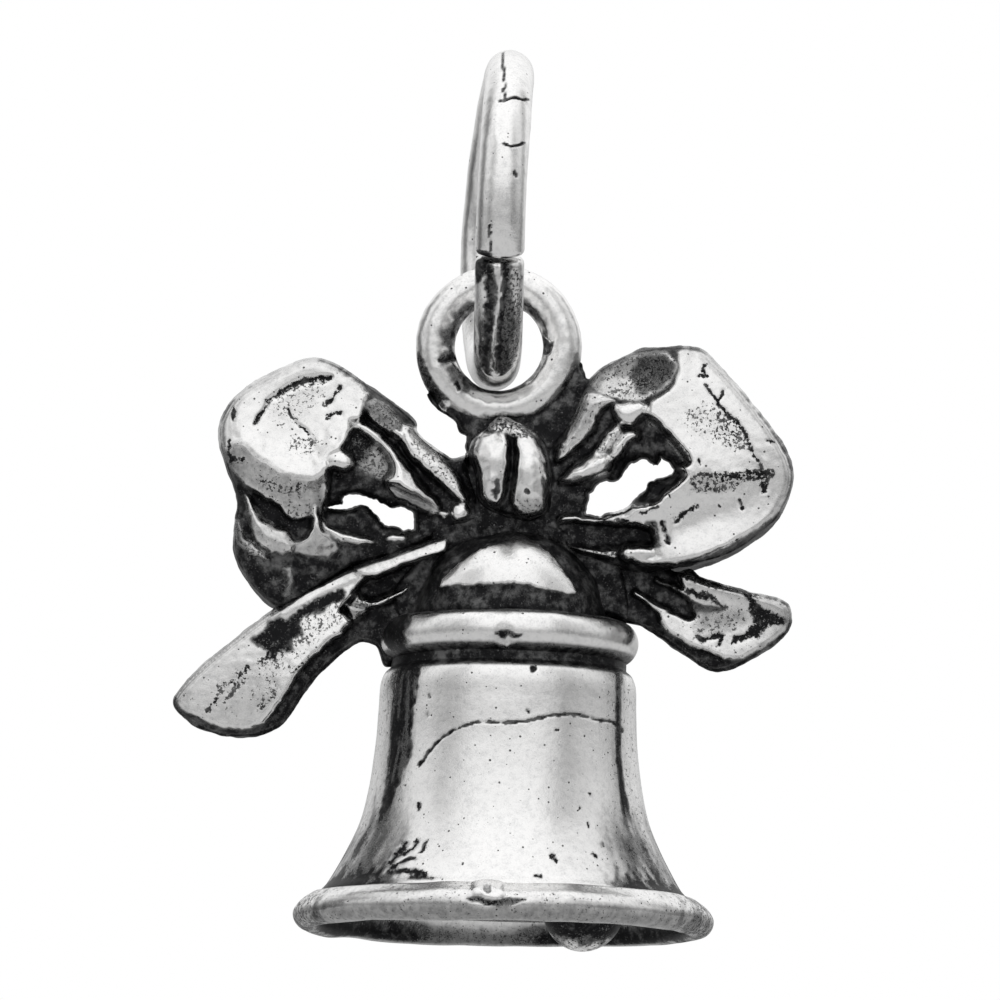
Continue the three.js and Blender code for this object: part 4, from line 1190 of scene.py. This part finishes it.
class Nodes:
    """A short way to write a node tree."""

    def __init__(self, tree):
        self.tree = tree
        tree.nodes.clear()

    def add(self, kind, settings=(), **inputs):
        """Adds a node. An input goes by its name, with _ for a space, or by i and its number."""
        node = self.tree.nodes.new(kind)
        for key, value in dict(settings).items():
            setattr(node, key, value)
        for key, value in inputs.items():
            key = int(key[1:]) if key[0] == "i" and key[1:].isdigit() else key.replace("_", " ")
            self.link(value, node.inputs[key])
        return node

    def link(self, value, socket):
        if isinstance(value, bpy.types.NodeSocket):
            self.tree.links.new(value, socket)
        else:
            socket.default_value = value

    def math(self, operation, a, b=0.0, c=0.0):
        return self.add("ShaderNodeMath", {"operation": operation}, i0=a, i1=b, i2=c).outputs[0]

    def scaled(self, value, by, onto=0.0):
        return self.math("MULTIPLY_ADD", value, by, onto)

    def product(self, a, b):
        return self.math("MULTIPLY", a, b)

    def around_half(self, value, by, onto):
        """Adds noise of this strength, which runs about a half, without making the whole brighter."""
        return self.scaled(self.math("SUBTRACT", value, 0.5), by, onto)

    def ramp(self, value, low, high, to_low=0.0, to_high=1.0):
        node = self.add("ShaderNodeMapRange", {"interpolation_type": "SMOOTHSTEP"}, Value=value,
                        From_Min=low, From_Max=high, To_Min=to_low, To_Max=to_high)
        return node.outputs["Result"]

    def mix(self, factor, a, b):
        node = self.add("ShaderNodeMix", {"data_type": "RGBA"}, i0=factor, i6=a, i7=b)
        return node.outputs[2]

    def cells(self, place, per_mm):
        """The distance to the nearest of many scattered points, and that point's own random number."""
        node = self.add("ShaderNodeTexVoronoi", {"feature": "F1"}, Vector=place, Scale=per_mm / MM)
        number = self.add("ShaderNodeSeparateColor", Color=node.outputs["Color"]).outputs[0]
        return node.outputs["Distance"], number

    def noise(self, place, per_mm, detail=3.0, roughness=0.6):
        node = self.add("ShaderNodeTexNoise", Vector=place, Scale=per_mm / MM, Detail=detail,
                        Roughness=roughness)
        return node.outputs["Fac"]


def grey(level):
    return (level, level, level, 1)


OXIDE = (0.011, 0.011, 0.012, 1)
THIN_OXIDE, PALE_GRAIN, FILM, SPECK = grey(0.17), grey(0.2), grey(0.17), grey(0.12)
OXIDE_ROUGHNESS = 0.42


def silver(name, shift, bright, rough):
    """Antiqued silver: the tone attribute says how much of the oxide has been polished away, and in
    places it is lowered to paint shade.
    """
    material = bpy.data.materials.new(name)
    material.use_nodes = True
    n = Nodes(material.node_tree)
    place = n.add("ShaderNodeTexCoord").outputs["Object"]
    tone = n.add("ShaderNodeAttribute", {"attribute_name": "tone"}).outputs["Fac"]
    pits = n.add("ShaderNodeAttribute", {"attribute_name": "pits"}).outputs["Fac"]
    broad = n.noise(place, 1.5, 3.0, 0.6)
    patch = n.noise(place, 3.2, 5.0, 0.7)
    fine = n.noise(place, 7.0, 5.0, 0.72)
    peck = n.noise(place, 15.0, 3.0, 0.65)
    grit = n.noise(place, 26.0, 3.0, 0.7)
    # The polished parts: where enough oxide is gone, with a ragged border of specks.
    worn = n.around_half(fine, 1.0, tone)
    worn = n.around_half(grit, 1.1, worn)
    worn = n.around_half(broad, 0.4, worn)
    mask = n.ramp(n.math("ADD", worn, shift), 0.38, 0.52)
    # Ragged pits where the pits attribute is high, and a few small round ones everywhere.
    eaten = n.scaled(pits, 0.34, n.scaled(patch, 0.25, n.product(peck, 0.8)))
    mask = n.product(mask, n.ramp(eaten, 0.73, 0.79, 1.0, 0.0))
    away, chance = n.cells(place, 4.2)
    size = n.product(n.ramp(n.noise(place, 2.3, 2.0), 0.45, 0.7, 0.0, 0.13), chance)
    mask = n.product(mask, n.ramp(n.math("SUBTRACT", away, size), -0.02, 0.03))
    away, chance = n.cells(place, 10.0)
    size = n.ramp(chance, 0.74, 1.0, -0.1, 0.24)
    mask = n.product(mask, n.ramp(n.math("SUBTRACT", away, size), -0.03, 0.05))
    # Oxide is near black, with soft grey where it is thin and fine pale grains.
    thin = n.scaled(pits, -0.3, n.scaled(tone, 0.3, patch))
    oxide = n.mix(n.ramp(thin, 0.43, 0.72), OXIDE, THIN_OXIDE)
    grains = n.product(n.ramp(grit, 0.56, 0.68), n.ramp(fine, 0.42, 0.62))
    oxide = n.mix(grains, oxide, PALE_GRAIN)
    # Silver is grey under the last film of oxide, and where the tone is lowered to paint shade.
    film = n.ramp(n.around_half(fine, 0.25, tone), 0.58, 0.98)
    clear = n.mix(n.ramp(n.scaled(grit, 0.5, n.product(fine, 0.5)), 0.36, 0.54),
                  grey(0.86 * bright), (bright, bright * 0.995, bright * 0.988, 1))
    metal = n.mix(film, FILM, clear)
    speck = n.product(n.ramp(grit, 0.64, 0.7), n.ramp(patch, 0.42, 0.6))
    metal = n.mix(n.product(speck, 0.65), metal, SPECK)
    colour = n.mix(mask, oxide, metal)
    roughness = n.math("ADD", n.ramp(mask, 0.0, 1.0, OXIDE_ROUGHNESS, rough), n.product(grit, 0.1))
    # Fine scratches run across the piece, and the oxide lies a little lower than the silver.
    drawn_out = n.add("ShaderNodeMapping", Vector=place, Rotation=(0.3, 0.5, 0.2), Scale=(1.0, 1.0, 0.1))
    scratch = n.noise(drawn_out.outputs[0], 16.0, 2.0)
    relief = n.scaled(mask, 0.7, n.product(fine, 0.55))
    relief = n.scaled(n.noise(place, 2.2, 2.0), 1.2, relief)
    relief = n.scaled(grit, 0.2, relief)
    relief = n.scaled(scratch, 0.1, relief)
    bump = n.add("ShaderNodeBump", Strength=0.7, Distance=0.012 * MM, Height=relief)
    shader = n.add("ShaderNodeBsdfPrincipled", Base_Color=colour, Metallic=n.ramp(mask, 0, 1, 0.8, 1.0),
                   Roughness=roughness, Specular_IOR_Level=0.3, Normal=bump.outputs[0])
    n.add("ShaderNodeOutputMaterial", Surface=shader.outputs[0])
    return material


# ---- stage

# Light that comes from each azimuth, in degrees to the right of the camera's side, and from each
# elevation.
AROUND = [
    (-180, 0.95), (-150, 0.95), (-136, 0.7), (-121, 0.35), (-110, 0.2), (-101, 0.35), (-90, 0.85),
    (-72, 0.85), (-56, 0.55), (-44, 0.7), (-32, 1), (28, 1), (40, 0.85), (52, 0.5), (62, 0.58),
    (78, 0.75), (94, 0.8), (108, 0.5), (116, 0.4), (124, 0.8), (134, 1), (150, 1), (180, 0.95)]
UPWARD = [
    (-90, 0.24), (-40, 0.28), (-18, 0.33), (-6, 0.43), (3, 0.52), (9, 0.68), (16, 0.84), (22, 0.95),
    (50, 1.05), (90, 1.1)]


def studio():
    """A studio that is white above the camera and dull below, with dark gaps at the sides."""
    world = bpy.data.worlds.new("studio")
    bpy.context.scene.world = world
    world.use_nodes = True
    n = Nodes(world.node_tree)
    way = n.add("ShaderNodeSeparateXYZ", Vector=n.add("ShaderNodeTexCoord").outputs["Generated"])
    x, y, z = way.outputs

    def levels(angle, reach, stops):
        """Grey levels for an angle that runs from -reach to reach."""
        node = n.add("ShaderNodeValToRGB", Fac=n.scaled(angle, 1 / (2 * reach), 0.5))
        node.color_ramp.interpolation = "EASE"
        for _ in stops[2:]:
            node.color_ramp.elements.new(0.5)
        for element, (at, level) in zip(node.color_ramp.elements, stops):
            element.position = 0.5 + math.radians(at) / (2 * reach)
            element.color = grey(level)
        return node.outputs[0]

    around = levels(n.math("ARCTAN2", x, n.product(y, -1.0)), math.pi, AROUND)
    upward = levels(n.math("ARCSINE", z), math.pi / 2, UPWARD)
    # Straight up and down, the azimuth no longer counts.
    even = n.ramp(n.math("ABSOLUTE", z), 0.6, 0.95)
    around = n.mix(even, around, grey(1))
    glow = n.add("ShaderNodeMix", {"data_type": "RGBA", "blend_type": "MULTIPLY"},
                 i0=1.0, i6=around, i7=upward)
    seen = n.add("ShaderNodeLightPath").outputs["Is Camera Ray"]
    background = n.add("ShaderNodeBackground", Color=n.mix(seen, glow.outputs[2], grey(1)), Strength=1.0)
    n.add("ShaderNodeOutputWorld", Surface=background.outputs[0])


FLOOR_SIZE, FLOOR_LEVEL = 0.6, -0.06      # in metres


def floor():
    bpy.ops.mesh.primitive_plane_add(size=FLOOR_SIZE, location=(0, 0, FLOOR_LEVEL))
    plane = bpy.context.object
    plane.name = "floor"
    material = bpy.data.materials.new("floor_paper")
    material.use_nodes = True
    n = Nodes(material.node_tree)
    place = n.add("ShaderNodeTexCoord").outputs["Object"]
    tint = n.mix(n.noise(place, 0.05, 3.0), grey(0.6), grey(0.66))
    shader = n.add("ShaderNodeBsdfPrincipled", Base_Color=tint, Roughness=0.8)
    n.add("ShaderNodeOutputMaterial", Surface=shader.outputs[0])
    plane.data.materials.append(material)


studio()
floor()
left_loop()
right_loop()
left_tail()
right_tail()
core()
knot("knot_front", False)
knot("knot_back", True)
jump_ring()
hanging_eye()
crown()
shoulder_band()
body()
rim()
staple()
stem()
ball()

# How much further each is polished, how bright its silver is, and how rough.
LOOKS = {
    "polished_silver": silver("polished_silver", 0.05, 0.95, 0.14),
    "antiqued_silver": silver("antiqued_silver", 0.0, 0.93, 0.17),
    "oxidised_silver": silver("oxidised_silver", -0.05, 0.85, 0.25),
}
for piece in list(bpy.data.objects):
    if piece.type == "MESH" and piece.get("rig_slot"):
        piece.data.materials.clear()
        piece.data.materials.append(LOOKS[piece["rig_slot"]])

bpy.context.scene.view_settings.view_transform = "Standard"
